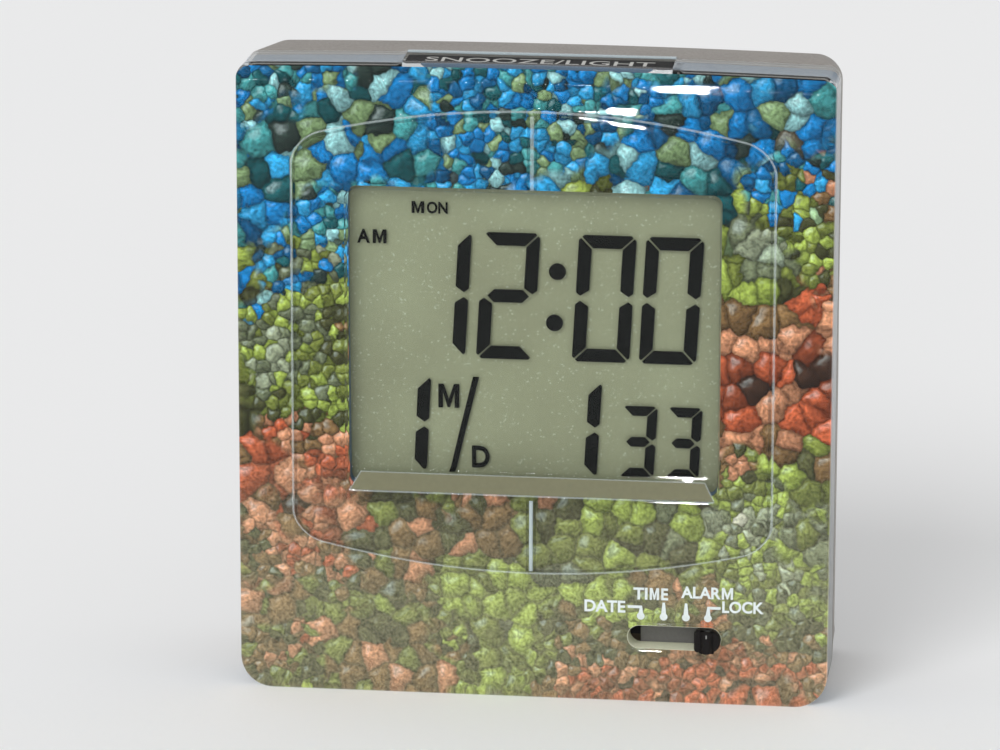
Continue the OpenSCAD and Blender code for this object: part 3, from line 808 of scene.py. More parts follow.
@dataclass(frozen=True)
class Stones:
    """Sockets that describe one size of pebble in the print."""

    pick: Socket
    warmth: Socket
    where: Socket
    middle: Socket
    rim: Socket
    lit: Socket


@dataclass(frozen=True)
class PebblePrint(Finish):
    """Printed picture of wet pebbles of two sizes, which lie in drifts of like colours."""

    cool: tuple[tuple[float, Colour], ...] = (
        (0.0, (20, 92, 136)), (0.12, (24, 130, 196)), (0.32, (52, 164, 218)), (0.5, (30, 92, 96)),
        (0.6, (74, 156, 156)), (0.74, (48, 62, 56)), (0.8, (132, 156, 108)), (0.92, (150, 200, 200)))
    warm: tuple[tuple[float, Colour], ...] = (
        (0.0, (72, 48, 36)), (0.06, (150, 74, 46)), (0.16, (200, 98, 62)), (0.26, (214, 146, 108)),
        (0.35, (138, 104, 66)), (0.44, (82, 82, 48)), (0.52, (126, 134, 62)), (0.63, (166, 182, 82)),
        (0.72, (116, 122, 92)), (0.8, (166, 172, 140)), (0.9, (204, 200, 176)))
    dust: Colour = (212, 202, 168)
    wet: Colour = (214, 226, 222)
    large: float = 0.3
    small: float = 0.62
    shore: Pair = (68.0, 69.0)
    drift: float = 13.0
    stray: float = 7.0
    wobble: float = 1.8
    randomness: float = 0.92
    aside: float = 0.06

    def stones(self, g: Graph, place: Socket, scale: float) -> Stones:
        """Scatters one size of pebble: cells round random points, lit from the upper left by
        how fast the distance to a cell's point grows that way.

        Args:
            g: The material's nodes.
            place: Coordinates.
            scale: Pebbles in a millimetre.

        Returns:
            What is known of the pebble at each point.
        """
        step = self.aside / scale
        cell = {"Vector": place, "Scale": scale, "Randomness": self.randomness}
        colour = g.add("TexVoronoi", cell, "Color")
        point, middle = (colour.node.outputs[name] for name in ("Position", "Distance"))
        aside = g.moved(place, (-0.6 * step, 0.0, 0.8 * step))
        further = g.add("TexVoronoi", {**cell, "Vector": aside}, "Distance")
        lit = g.span(g.maths(Sum.SUBTRACT, further, middle), -0.06, 0.06)
        rim = g.add("TexVoronoi", cell, feature="DISTANCE_TO_EDGE")
        parts = g.add("SeparateColor", {0: colour}).node.outputs
        return Stones(parts[0], parts[1], point, middle, rim, lit)

    def coloured(self, g: Graph, stones: Stones) -> Socket:
        """Colours each pebble by where it lies and shades it as a lit, wet dome.

        Args:
            g: The material's nodes.
            stones: What is known of the pebble at each point.

        Returns:
            The colour.
        """
        level = g.add("SeparateXYZ", {0: stones.where}, 2)
        drift = g.span(g.noise(stones.where, 0.045, 2.0), 0.25, 0.75, -self.drift, self.drift)
        stray = g.span(stones.warmth, 0.0, 1.0, -self.stray, self.stray)
        height = g.maths(Sum.ADD, g.maths(Sum.ADD, level, drift), stray)
        aside = g.moved(stones.where, (90.0, 40.0, 15.0))
        zone = g.cloudy(g.noise(aside, 0.04, 1.0), 0.0, 0.7)
        pick = g.maths(Sum.ADD, zone, g.span(stones.pick, 0.0, 1.0, 0.0, 0.3))
        colour = g.blend(g.span(height, *self.shore), g.bands(pick, self.warm),
                         g.bands(stones.pick, self.cool))
        tone = g.span(stones.lit, 0.0, 1.0, 0.55, 1.3)
        tone = g.maths(Sum.MULTIPLY, tone, g.span(stones.warmth, 0.0, 1.0, 0.7, 1.16))
        edge = g.span(stones.rim, 0.0, 0.16, 0.36, 1.0)
        colour = g.shaded(colour, g.maths(Sum.MULTIPLY, tone, edge))
        shine = g.maths(Sum.MULTIPLY, g.span(stones.lit, 0.8, 1.0), g.span(stones.middle, 0.12, 0.3))
        shine = g.maths(Sum.MULTIPLY, shine, g.span(stones.rim, 0.1, 0.2, 0.0, 0.3))
        colour = g.blend(g.span(level, 38.0, 14.0, 0.0, 0.22), colour, linear(self.dust))
        return g.blend(shine, colour, linear(self.wet))

    def paint(self, g: Graph, place: Socket) -> None:
        """Lays patches of large and small pebbles, with wavering outlines and a mottle.

        Args:
            g: The material's nodes.
            place: Millimetres on the piece.
        """
        wave = g.add("VectorMath", {0: g.noise(place, 0.5, 3.0, 1), 1: (0.5, 0.5, 0.5)},
                     operation="SUBTRACT")
        bent = g.moved(g.scaled(wave, self.wobble), place)
        large = self.coloured(g, self.stones(g, bent, self.large))
        small = self.coloured(g, self.stones(g, bent, self.small))
        colour = g.blend(g.span(g.noise(place, 0.06, 2.0), 0.49, 0.53), large, small)
        colour = g.shaded(colour, g.cloudy(g.noise(bent, 2.2, 6.0), 0.5, 1.46))
        grain = g.noise(place, 6.0, 2.0)
        g.feed(g.shader, {"Base Color": colour, "Roughness": g.cloudy(grain, 0.34, 0.5),
                          "Specular IOR Level": 0.08})
        g.relief(grain, 0.004, 0.4)


@dataclass(frozen=True)
class Ink(Finish):
    """Printed ink or a dark display segment: dense, with slight mottling."""

    colour: Colour
    roughness: float = 0.5

    def paint(self, g: Graph, place: Socket) -> None:
        """Lays the colour with thin spots."""
        fine = g.noise(place, 2.2, 3.0)
        g.feed(g.shader, {"Base Color": g.blend(fine, linear(self.colour), linear(toned(self.colour, 0.9))),
                          "Roughness": g.cloudy(fine, self.roughness - 0.05, self.roughness + 0.08),
                          "Specular IOR Level": 0.04})


@dataclass(frozen=True)
class PaleFloor(Finish):
    """Dull pale floor of the studio, with hardly any unevenness."""

    dark: Colour = (246, 247, 248)
    pale: Colour = (250, 250, 250)

    def paint(self, g: Graph, place: Socket) -> None:
        """Lays two near tones."""
        cloud = g.noise(place, 0.004, 3.0)
        g.feed(g.shader, {"Base Color": g.blend(cloud, linear(self.dark), linear(self.pale)),
                          "Roughness": 0.9, "Specular IOR Level": 0.1})


# Sub-assemblies

@dataclass
class CaseForm:
    """Outer form that the clear cover and the rear case share."""

    half: float = 41.0
    height: float = 89.1
    top_corner: float = 1.8
    bottom_corner: float = 4.5
    crown_drop: float = 0.5
    crown_levels: Pair = (60.0, 86.0)

    def outline(self, side: float, top: float, base: float, corner: float) -> tuple[Array, Array]:
        """Gives the case outline with each side drawn in, under a top crowned as a parabola.

        Args:
            side: How far the sides are drawn in.
            top: How far the top is drawn in.
            base: How far the base is drawn in.
            corner: Radius of the top corners before the sides are drawn in.

        Returns:
            Rows of x and z, and the outward normal at each.
        """
        r_low, r_high = (max(r - side, LEAST_CORNER) for r in (self.bottom_corner, corner))
        flat, normal = rounded_rect(self.half - side, base, self.height - top, r_low, r_high, HUMP_LEVELS)
        drop = self.crown_drop * (flat[:, 0] / TOP_STRAIGHT) ** 2 * ease(*self.crown_levels, flat[:, 1])
        return flat - np.stack([np.zeros(len(flat)), drop], axis=1), normal

    def ring(self, inset: float, depth: float, top: Optional[float] = None) -> Array:
        """Gives the cover's outline at a depth, drawn in, at the top by its own share if given."""
        flat, _ = self.outline(inset, inset if top is None else top, inset, self.top_corner)
        return at_depth(flat, depth)

    def notch_columns(self) -> Array:
        """Says which quads of a ring lie in the notch of the snooze bar.

        Returns:
            True for each such quad.
        """
        x = self.ring(0.0, 0.0)[:, 0]
        inside = np.abs(x) < NOTCH_HALF + 1e-6
        inside[:TOP_START] = False
        return inside & np.roll(inside, -1)


@dataclass
class FrontCover:
    """Clear front cover with its raised panel, display pocket, switch slot and bar notch.

    The panel's edge is rows of how far its outline is widened and its depth. The pocket's lip is
    rows of how far it is widened, how far its lower side has climbed and how far it lies behind the
    panel, and its foot is such rows counted from the end of the climb and from the floor. The two
    beads, a painted highlight and a painted shade carried round the panel's edge, are each how far
    outside the panel it lies, its depth, half its width and half its thickness. A bevel edge is half
    its length, its depth and its height, and the painted highlight line on it is how far back and up
    it lies and half its thickness. The painted highlight line on the ridge is corners of depth and
    height from the ridge's top.
    """

    form: CaseForm
    depth: float = 10.95
    wall: float = 0.6
    top_wall: float = 0.76
    top_wall_end: float = 0.2
    back_of_face: float = 1.9
    top_roll: float = 2.8
    front_edge: float = 1.2
    rim_round: float = 0.3
    panel_half: float = 33.1
    panel_low: float = 18.5
    panel_high: float = 83.3
    panel_bow: float = 4.5
    panel_corner: float = 4.0
    panel_rise: float = 1.2
    panel_edge: tuple[Pair, ...] = (
        (0.46, 0.0), (0.34, -0.03), (0.24, -0.11), (0.16, -0.26), (0.05, -0.62), (-0.04, -0.90),
        (-0.13, -1.06), (-0.26, -1.16))
    panel_inset: float = 0.45
    pocket_half: float = 25.8
    pocket_low: float = 29.4
    pocket_high: float = 72.1
    pocket_corner: float = 1.4
    pocket_floor: float = 0.6
    pocket_slope: float = 2.9
    pocket_lip: tuple[Triple, ...] = ((0.12, -0.12, 0.0), (0.03, -0.02, 0.03), (0.0, 0.1, 0.09))
    pocket_foot: tuple[Triple, ...] = ((-0.15, -0.2, -0.1), (-0.3, 0.0, 0.0))
    slot_centre: Pair = (19.8, 9.5)
    slot_length: float = 13.1
    slot_height: float = 3.4
    slot_lip: float = 0.3
    sleeve_grow: Pair = (-0.015, -0.05)
    sleeve_depth: Pair = (0.32, 3.75)
    notch: Pair = (4.1, 9.2)
    ridge_height: float = 0.26
    ridge_ends: Pair = (18.6, 19.5)
    ridge_back: Pair = (10.1, 10.4)
    ridge_rows: tuple[float, ...] = (9.5, 9.8, 10.1, 10.25, 10.4)
    ridge_highlight_line: tuple[Pair, ...] = ((9.21, -0.2), (10.15, -0.02), (10.15, 0.03), (9.21, 0.03))
    band_outer: Pair = (0.1, 0.5)
    band_inner: Pair = (1.4, 1.4)
    band_depth: Pair = (1.94, 1.99)
    rib_half: Pair = (0.3, 0.18)
    rib_depth: Pair = (-1.15, -1.5)
    rib_radii: tuple[float, ...] = (0.05, 0.05, 0.15, 0.15)
    lower_rib: Pair = (18.9, 28.9)
    upper_rib: Pair = (72.6, 82.9)
    bevel_foot: Triple = (25.2, -1.07, 29.64)
    bevel_head: Triple = (23.8, 0.215, 31.88)
    foot_highlight_line: Triple = (-0.01, -0.14, 0.13)
    head_highlight_line: Triple = (0.045, -0.02, 0.1)
    foot_mitre_highlight: Triple = (0.0, 0.02, -0.02)
    head_mitre_highlight: Triple = (0.0, 0.02, -0.01)
    mitre_highlight_half: float = 0.1
    bevel_back: Triple = (0.0, 0.04, -0.03)
    painted_highlight_bead: tuple[float, ...] = (0.04, -0.74, 0.2, 0.1)
    shade_bead: tuple[float, ...] = (-0.36, -1.19, 0.2, 0.04)
    shade_x: float = 0.5
    shade_half: float = 0.2
    shade_depth: Pair = (-1.16, -1.24)

    def panel_ring(self, grow: float, depth: float) -> Array:
        """Gives the raised panel's outline: a rounded rectangle bent so that z moves by
        bow times the square of x over the half width, times its share of the half height.

        Args:
            grow: How far it is widened all round.
            depth: Its y.

        Returns:
            Rows of x, y, z.
        """
        corner = self.panel_corner + grow
        flat, _ = rounded_rect(self.panel_half + grow, self.panel_low - grow, self.panel_high + grow,
                               corner, corner)
        middle = (self.panel_low + self.panel_high) / 2.0
        share = (flat[:, 1] - middle) / (self.panel_high - middle)
        bent = flat[:, 1] - self.panel_bow * (flat[:, 0] / self.panel_half) ** 2 * share
        return at_depth(np.stack([flat[:, 0], bent], axis=1), depth)

    def pocket_ring(self, grow: float, slope: float, depth: float) -> Array:
        """Gives the display pocket's outline at a depth.

        Args:
            grow: How far it is widened all round.
            slope: How far its lower side has climbed.
            depth: Its y.

        Returns:
            Rows of x, y, z.
        """
        corner = self.pocket_corner + grow
        flat, _ = rounded_rect(self.pocket_half + grow, self.pocket_low - grow + slope,
                               self.pocket_high + grow, corner, corner)
        return at_depth(flat, depth)

    def slot_ring(self, grow: float, depth: float) -> Array:
        """Gives the switch slot's outline at a depth."""
        return at_depth(capsule(self.slot_centre, self.slot_length, self.slot_height, grow), depth)

    def front_edges(self) -> list[Array]:
        """Gives the rings of the rounded front edge, from the face back.

        Each side follows rounding() times a radius r, which grows from the sides to the top by
        the normal's z.

        Returns:
            The rings, each as rows of x, y, z.
        """
        rings = []
        for draw, back in rounding(10):
            side, top = self.front_edge * draw, self.top_roll * draw
            flat, normal = self.form.outline(side, top, side, self.form.top_corner)
            radius = self.front_edge + (self.top_roll - self.front_edge) * ease(0.0, 1.0, normal[:, 1])
            rings.append(at_depth(flat, radius * back))
        return rings

    def lift(self, ring: Array) -> Array:
        """Raises the ridge behind the snooze bar.

        Args:
            ring: Rows of x, y, z on the outside of the cover.

        Returns:
            The rows with the ridge.
        """
        start = self.notch[1]
        across = 1.0 - ease(*self.ridge_ends, np.abs(ring[:, 0]))
        along = ease(start - 0.01, start, ring[:, 1]) * (1.0 - ease(*self.ridge_back, ring[:, 1]))
        top = slice(TOP_START, TOP_START + len(ACROSS))
        raised = ring.copy()
        raised[top, 2] += (self.ridge_height * across * along)[top]
        return raised

    def slot_rings(self) -> Array:
        """Gives the switch slot's rings: a quarter-round lip and a straight wall."""
        rings = [self.slot_ring(self.slot_lip * draw, self.slot_lip * back) for draw, back in rounding(4)]
        return np.stack(rings + [self.slot_ring(0.0, self.back_of_face)])

    def bead(self, shell: Shell, grow: float, depth: float, wide: float, thick: float) -> None:
        """Adds an ellipse, by its half width and half thickness, carried round the panel's outline."""
        turn = np.linspace(0.0, 2.0 * math.pi, 9)
        shell.rings(np.stack([self.panel_ring(grow + wide * math.cos(a), depth + thick * math.sin(a))
                              for a in turn]))

    def painted_ridge_highlight(self, finish: Material) -> None:
        """Lays a painted highlight line along the ridge behind the snooze bar.

        Args:
            finish: Material of the painted highlight line.
        """
        top = self.form.height + self.ridge_height
        # Painted highlight: a pale line lies on the ridge's top where it would catch the light.
        line = Shell()
        line.block([(y, top + up) for y, up in self.ridge_highlight_line], 0.01, (-NOTCH_HALF, NOTCH_HALF), Axis.X,
                   (0.02, 0.02), (2, 2))
        line.piece("cover_painted_ridge_highlight", Body.CASE, Slot.COVER, finish)

    def painted_edge_highlights(self, finish: Material) -> None:
        """Lays painted highlight lines along the panel's edge and round the bevel below the display.

        Args:
            finish: Material of the painted highlight lines.
        """
        lines = Shell()
        # Painted highlights: pale lines stand for the light that the panel's edge, the bevel's edges and its
        # mitres catch.
        self.bead(lines, *self.painted_highlight_bead)
        foot, head = np.array(self.bevel_foot), np.array(self.bevel_head)
        for (half, edge_y, edge_z), (back, up, r) in ((head, self.head_highlight_line), (foot, self.foot_highlight_line)):
            y, z = edge_y + back, edge_z + up
            lines.block(box_corners(y - r, y + r, z - r, z + r), r * 0.6, (-half, half), Axis.X,
                        (0.05, 0.05), (3, 2))
        square = np.array([(x, 0.0, z) for x, z in box_corners(-1.0, 1.0, -1.0, 1.0)]) * self.mitre_highlight_half
        ends = np.array([foot + self.foot_mitre_highlight, head + self.head_mitre_highlight])
        for side in (-1.0, 1.0):
            lines.closed((ends * (side, 1.0, 1.0))[:, None] + square)
        lines.piece("cover_painted_edge_highlights", Body.CASE, Slot.COVER, finish)

    def ribs(self, low_finish: Material, high_finish: Material, shade: Material) -> None:
        """Lays the two ribs, in pale films painted as their highlights, and the painted shade lines beside
        them and inside the panel's edge.

        Args:
            low_finish: Material of the lower rib.
            high_finish: Material of the upper rib.
            shade: Material of the painted shade lines.
        """
        shades = Shell()
        # Painted shade: dark lines inside the panel's edge and beside each rib.
        self.bead(shades, *self.shade_bead)
        foot, crest = self.rib_half
        near, far = self.rib_depth
        profile = [(-foot, near), (foot, near), (crest, far), (-crest, far)]
        for name, span, finish in (("lower_rib", self.lower_rib, low_finish),
                                   ("upper_rib", self.upper_rib, high_finish)):
            rib = Shell()
            rib.block(profile, self.rib_radii, span, Axis.Z, (0.03, 0.03))
            rib.piece(name, Body.CASE, Slot.COVER, finish)
            for x in (-self.shade_x, self.shade_x):
                shades.block(box_corners(x - self.shade_half, x + self.shade_half, *self.shade_depth), 0.03,
                             span, Axis.Z, (0.03, 0.03), (2, 2))
        shades.piece("cover_edge_shades", Body.CASE, Slot.COVER, shade)

    def bevel(self, finish: Material) -> None:
        """Lays a film over the bevel below the display, painted in the darker grey-green that the clear
        bevel shows of the display behind it, as a thin slab with mitred ends.

        Args:
            finish: Material of the bevel.
        """
        (wide, y_foot, z_foot), (narrow, y_head, z_head) = self.bevel_foot, self.bevel_head
        front = np.array([(-wide, y_foot, z_foot), (wide, y_foot, z_foot),
                          (narrow, y_head, z_head), (-narrow, y_head, z_head)])
        slab = Shell()
        slab.closed(np.stack([front, front + np.array(self.bevel_back)]))
        slab.piece("pocket_bevel", Body.CASE, Slot.COVER, finish)

    def printed_edge(self, finish: Material) -> None:
        """Carries the print to the cover's edge: a flat band that follows the case outline.

        Args:
            finish: Material of the print.
        """
        outer, inner = self.band_outer, self.band_inner
        near, far = self.band_depth
        loop = [(*outer, near), (*inner, near), (*inner, far), (*outer, far), (*outer, near)]
        band = Shell()
        band.rings(np.stack([self.form.ring(side, y, top) for side, top, y in loop]))
        band.piece("printed_edge", Body.CASE, Slot.CARD, finish)

    def sleeve(self, finish: Material) -> None:
        """Lines the switch slot: a thin pale wall that follows the slot's outline, painted in the lit look
        of the cover's clear wall there.

        Args:
            finish: Material of the wall.
        """
        (outer, inner), (near, far) = self.sleeve_grow, self.sleeve_depth
        loop = [(outer, near), (inner, near), (inner, far), (outer, far), (outer, near)]
        wall = Shell()
        wall.rings(np.stack([self.slot_ring(grow, y) for grow, y in loop]))
        wall.piece("slot_wall", Body.CASE, Slot.COVER, finish)

    def pocket_rings(self) -> list[Array]:
        """Gives the rings of the display pocket, from its lip on the panel to its floor.

        Returns:
            The rings, each as rows of x, y, z.
        """
        lip = [self.pocket_ring(grow, up, back - self.panel_rise) for grow, up, back in self.pocket_lip]
        foot = [self.pocket_ring(grow, self.pocket_slope + up, self.pocket_floor + back)
                for grow, up, back in self.pocket_foot]
        return lip + foot

    def build(self, finish: Material) -> bpy.types.Object:
        """Lofts the cover as rings: pocket, panel, front edge, side wall, rim, inner wall.

        Args:
            finish: Material of the cover.

        Returns:
            The cover.
        """
        shell = Shell()
        slot = self.slot_rings()
        shell.rings(slot)
        edge = self.front_edges()
        panel = [self.panel_ring(grow, y) for grow, y in self.panel_edge]
        panel.append(self.panel_ring(-self.panel_inset, -self.panel_rise))
        shell.plate([edge[0], panel[0], slot[0]])
        shell.rings(np.stack(panel))
        shell.cup(np.stack([panel[-1]] + self.pocket_rings()))
        front, back = self.notch
        rim = self.rim_round
        rows = [front, back, *self.ridge_rows, self.depth - rim]
        side = [self.lift(self.form.ring(0.0, y)) for y in rows]
        side += [self.form.ring(rim * drawn, self.depth - rim * short) for short, drawn in rounding(3)[1:]]
        inner = [self.form.ring(self.wall, self.depth), self.form.ring(self.wall, back + self.top_wall_end)]
        inner += [self.form.ring(self.wall, y, self.top_wall) for y in (back, front, self.back_of_face)]
        rings = np.stack(edge + side + inner)
        gap = self.form.notch_columns()
        keep = np.ones((len(rings) - 1, rings.shape[1]), dtype=bool)
        outer_front = len(edge)
        inner_back = len(edge) + len(side) + 2
        keep[outer_front, gap] = False
        keep[inner_back, gap] = False
        shell.rings(rings, keep)
        columns = np.flatnonzero(gap)
        columns = np.append(columns, columns[-1] + 1)
        shell.strip(rings[outer_front][columns], rings[inner_back + 1][columns])
        shell.strip(rings[outer_front + 1][columns], rings[inner_back][columns])
        for end in (columns[0], columns[-1]):
            shell.strip(rings[[outer_front, outer_front + 1], end], rings[[inner_back + 1, inner_back], end])
        shell.plate([rings[-1], slot[-1]])
        return shell.piece("clear_front_cover", Body.CASE, Slot.COVER, finish, "front_cover")


@dataclass(frozen=True)
class DigitSize:
    """Foot, width, height and stroke of a digit on the display."""

    low: float
    wide: float
    tall: float
    stroke: float


@dataclass
class Display:
    """Display ground, its dark segments and words, and the clear layers in front.

    A row of digits is each figure and its left. The boxes of words are their left, right, lower
    and upper edge.
    """

    half: float = 28.5
    glass_step: tuple[Pair, ...] = (
        (3.82, 28.2), (5.1, 28.2), (5.1, 25.6), (6.2, 25.6), (6.2, 75.4), (3.82, 75.4))
    ground_box: Box = (-28.4, 28.4, 25.7, 75.3)
    ground_depth: Pair = (4.5, 4.68)
    ink_depth: Pair = (3.98, 4.04)
    shift: Pair = (-0.01, -0.01)
    slant: float = 0.054
    time_size: DigitSize = DigitSize(47.6, 7.95, 17.9, 1.84)
    time: tuple[tuple[str, float], ...] = (("1", -17.77), ("2", -8.3), ("0", 4.97), ("0", 14.23))
    month_size: DigitSize = DigitSize(30.92, 5.6, 14.05, 1.8)
    month: tuple[tuple[str, float], ...] = (("1", -20.85),)
    day_size: DigitSize = DigitSize(30.93, 5.6, 13.9, 1.8)
    day: tuple[tuple[str, float], ...] = (("1", 2.88),)
    seconds_size: DigitSize = DigitSize(31.3, 4.9, 10.2, 1.38)
    seconds: tuple[tuple[str, float], ...] = (("3", 11.49), ("3", 17.76))
    colon: tuple[Pair, Pair] = ((2.95, 60.2), (2.58, 52.95))
    colon_radius: float = 1.18
    slash: tuple[Pair, ...] = ((-8.7, 44.9), (-7.85, 44.9), (-11.2, 31.0), (-12.05, 31.0))
    words: tuple[tuple[str, Box, float], ...] = (
        ("D", (-8.85, -6.35, 31.95, 35.1), 0.035), ("ON", (-15.1, -12.2, 67.85, 69.55), 0.032),
        ("A", (-24.77, -22.97, 63.45, 65.42), 0.032))
    bold_ms: tuple[tuple[Box, float], ...] = (
        ((-13.52, -10.6, 40.4, 43.8), 0.66), ((-17.2, -15.45, 67.85, 69.55), 0.42),
        ((-22.6, -20.67, 63.45, 65.42), 0.46))
    ink: Shell = field(default_factory=Shell)

    SEGMENTS = {"0": "abcdef", "1": "bc", "2": "abdeg", "3": "abcdg"}

    def segment(self, name: str, size: DigitSize) -> Array:
        """Gives one mitred segment of a digit.

        Args:
            name: Letter of the segment, a at the top and then clockwise, g in the middle.
            size: Size of the digit.

        Returns:
            Rows of x and z from the digit's lower left.
        """
        wide, h, s = size.wide, size.tall, size.stroke
        mid, cut, gap = h / 2.0, s * 0.3, s * 0.09
        upper = np.array([(wide, h - cut - gap), (wide, mid + 0.46 * s), (wide - 0.35 * s, mid + 0.19 * s),
                          (wide - s, mid + 0.63 * s), (wide - s, h - s - gap),
                          (wide - cut / 2, h - cut / 2 - gap)])
        across = np.array([(cut + gap, h), (wide - cut - gap, h), (wide - cut / 2 - gap, h - cut / 2),
                           (wide - s - gap, h - s), (s + gap, h - s), (cut / 2 + gap, h - cut / 2)])
        bar = np.array([(s / 2 + gap, mid), (s + gap, mid + s / 2), (wide - s - gap, mid + s / 2),
                        (wide - s / 2 - gap, mid), (wide - s - gap, mid - s / 2), (s + gap, mid - s / 2)])
        flip_z, flip_x = np.array([1.0, -1.0]), np.array([-1.0, 1.0])
        down, right = np.array([0.0, h]), np.array([wide, 0.0])
        return {"a": across, "b": upper, "c": upper * flip_z + down, "d": across * flip_z + down,
                "e": upper * flip_z * flip_x + down + right, "f": upper * flip_x + right, "g": bar}[name]

    def stamp(self, flat: Array) -> None:
        """Adds a flat shape to the ink, moved to where it is seen through the cover."""
        self.ink.prism(flat + np.array(self.shift), self.ink_depth, Axis.Y)

    def digit(self, figure: str, left: float, size: DigitSize) -> None:
        """Adds one digit, leaned to the right by the slant.

        Args:
            figure: The digit.
            left: Its lower left in x.
            size: Its size.
        """
        for name in self.SEGMENTS[figure]:
            flat = self.segment(name, size)
            lean = np.stack([flat[:, 0] + self.slant * flat[:, 1], flat[:, 1]], axis=1)
            self.stamp(lean + np.array([left, size.low]))

    def letters(self) -> None:
        """Adds the words and the bold letters M as flat shapes on the front of the ink."""
        for text, box, weight in self.words:
            flat, faces = lettering(text, box, weight)
            self.ink.patch(at_depth(flat + np.array(self.shift), self.ink_depth[0]), faces)
        for box, stroke in self.bold_ms:
            self.ink.cap(at_depth(bold_m(box, stroke) + np.array(self.shift), self.ink_depth[0]))

    def build(self, ground: Material, ink: Material, glass: Material) -> None:
        """Builds the ground, everything that is drawn on the display and the glass in front.

        Args:
            ground: Material of the ground.
            ink: Material of the segments.
            glass: Material of the glass with its front film.
        """
        block = Shell()
        block.block(self.glass_step, 0.05, (-self.half, self.half), Axis.X, (0.04, 0.04), (2, 2))
        block.piece("display_glass", Body.CASE, Slot.GLASS, glass,
                    "lcd_front_polariser", "lcd_front_glass", "lcd_rear_glass")
        plate = Shell()
        plate.block(box_corners(*self.ground_box), 0.3, self.ground_depth, Axis.Y, (0.03, 0.03), (5, 2))
        plate.piece("display_ground", Body.CASE, Slot.FILM, ground, "lcd_rear_polariser")
        for row, size in ((self.time, self.time_size), (self.month, self.month_size),
                          (self.day, self.day_size), (self.seconds, self.seconds_size)):
            for figure, left in row:
                self.digit(figure, left, size)
        for spot in self.colon:
            self.stamp(ring_of(self.colon_radius, spot, 28))
        self.stamp(np.array(self.slash))
        self.letters()
        self.ink.piece("display_segments", Body.CASE, Slot.FILM, ink)


@dataclass
class SwitchLabels:
    """White words, dots and lead lines printed round the switch."""

    depth: float = 1.97
    line_depth: float = 1.978
    shift: Pair = (-0.12, -0.33)
    weight: float = 0.03
    words: tuple[tuple[str, Box], ...] = (
        ("DATE", (7.28, 12.98, 12.88, 14.61)), ("TI", (14.08, 16.05, 14.88, 16.6)),
        ("E", (17.95, 18.9, 14.88, 16.6)), ("ALAR", (20.7, 26.22, 15.3, 17.0)),
        ("LOCK", (26.42, 32.22, 13.35, 15.07)))
    bold_ms: tuple[Box, ...] = ((16.35, 17.65, 14.88, 16.6), (26.34, 27.9, 15.3, 17.0))
    bold_stroke: float = 0.33
    dots_x: tuple[float, ...] = (15.13, 18.31, 21.41, 24.46)
    dots_z: float = 12.5
    dot_radius: float = 0.54
    leads: tuple[tuple[Pair, ...], ...] = (
        ((13.3, 14.0), (15.3, 14.0), (15.5, 12.6), (14.78, 12.6), (14.96, 13.6), (13.3, 13.6)),
        ((17.94, 12.6), (18.68, 12.6), (18.48, 14.55), (18.14, 14.55)),
        ((21.04, 12.6), (21.78, 12.6), (21.58, 14.55), (21.24, 14.55)),
        ((26.2, 14.2), (26.2, 13.8), (24.72, 13.8), (24.82, 12.6), (24.08, 12.6), (24.38, 14.2)))

    def build(self, finish: Material) -> None:
        """Lays the words, dots and lines on the card.

        Args:
            finish: Material of the print.
        """
        shell = Shell()
        shift = np.array(self.shift)
        for text, box in self.words:
            flat, faces = lettering(text, box, self.weight)
            shell.patch(at_depth(flat + shift, self.depth), faces)
        for box in self.bold_ms:
            shell.cap(at_depth(bold_m(box, self.bold_stroke) + shift, self.depth))
        for x in self.dots_x:
            shell.cap(at_depth(ring_of(self.dot_radius, (x, self.dots_z), 24) + shift, self.depth))
        for lead in self.leads:
            shell.cap(at_depth(np.array(lead) + shift, self.line_depth))
        shell.piece("switch_labels", Body.CASE, Slot.CARD, finish)


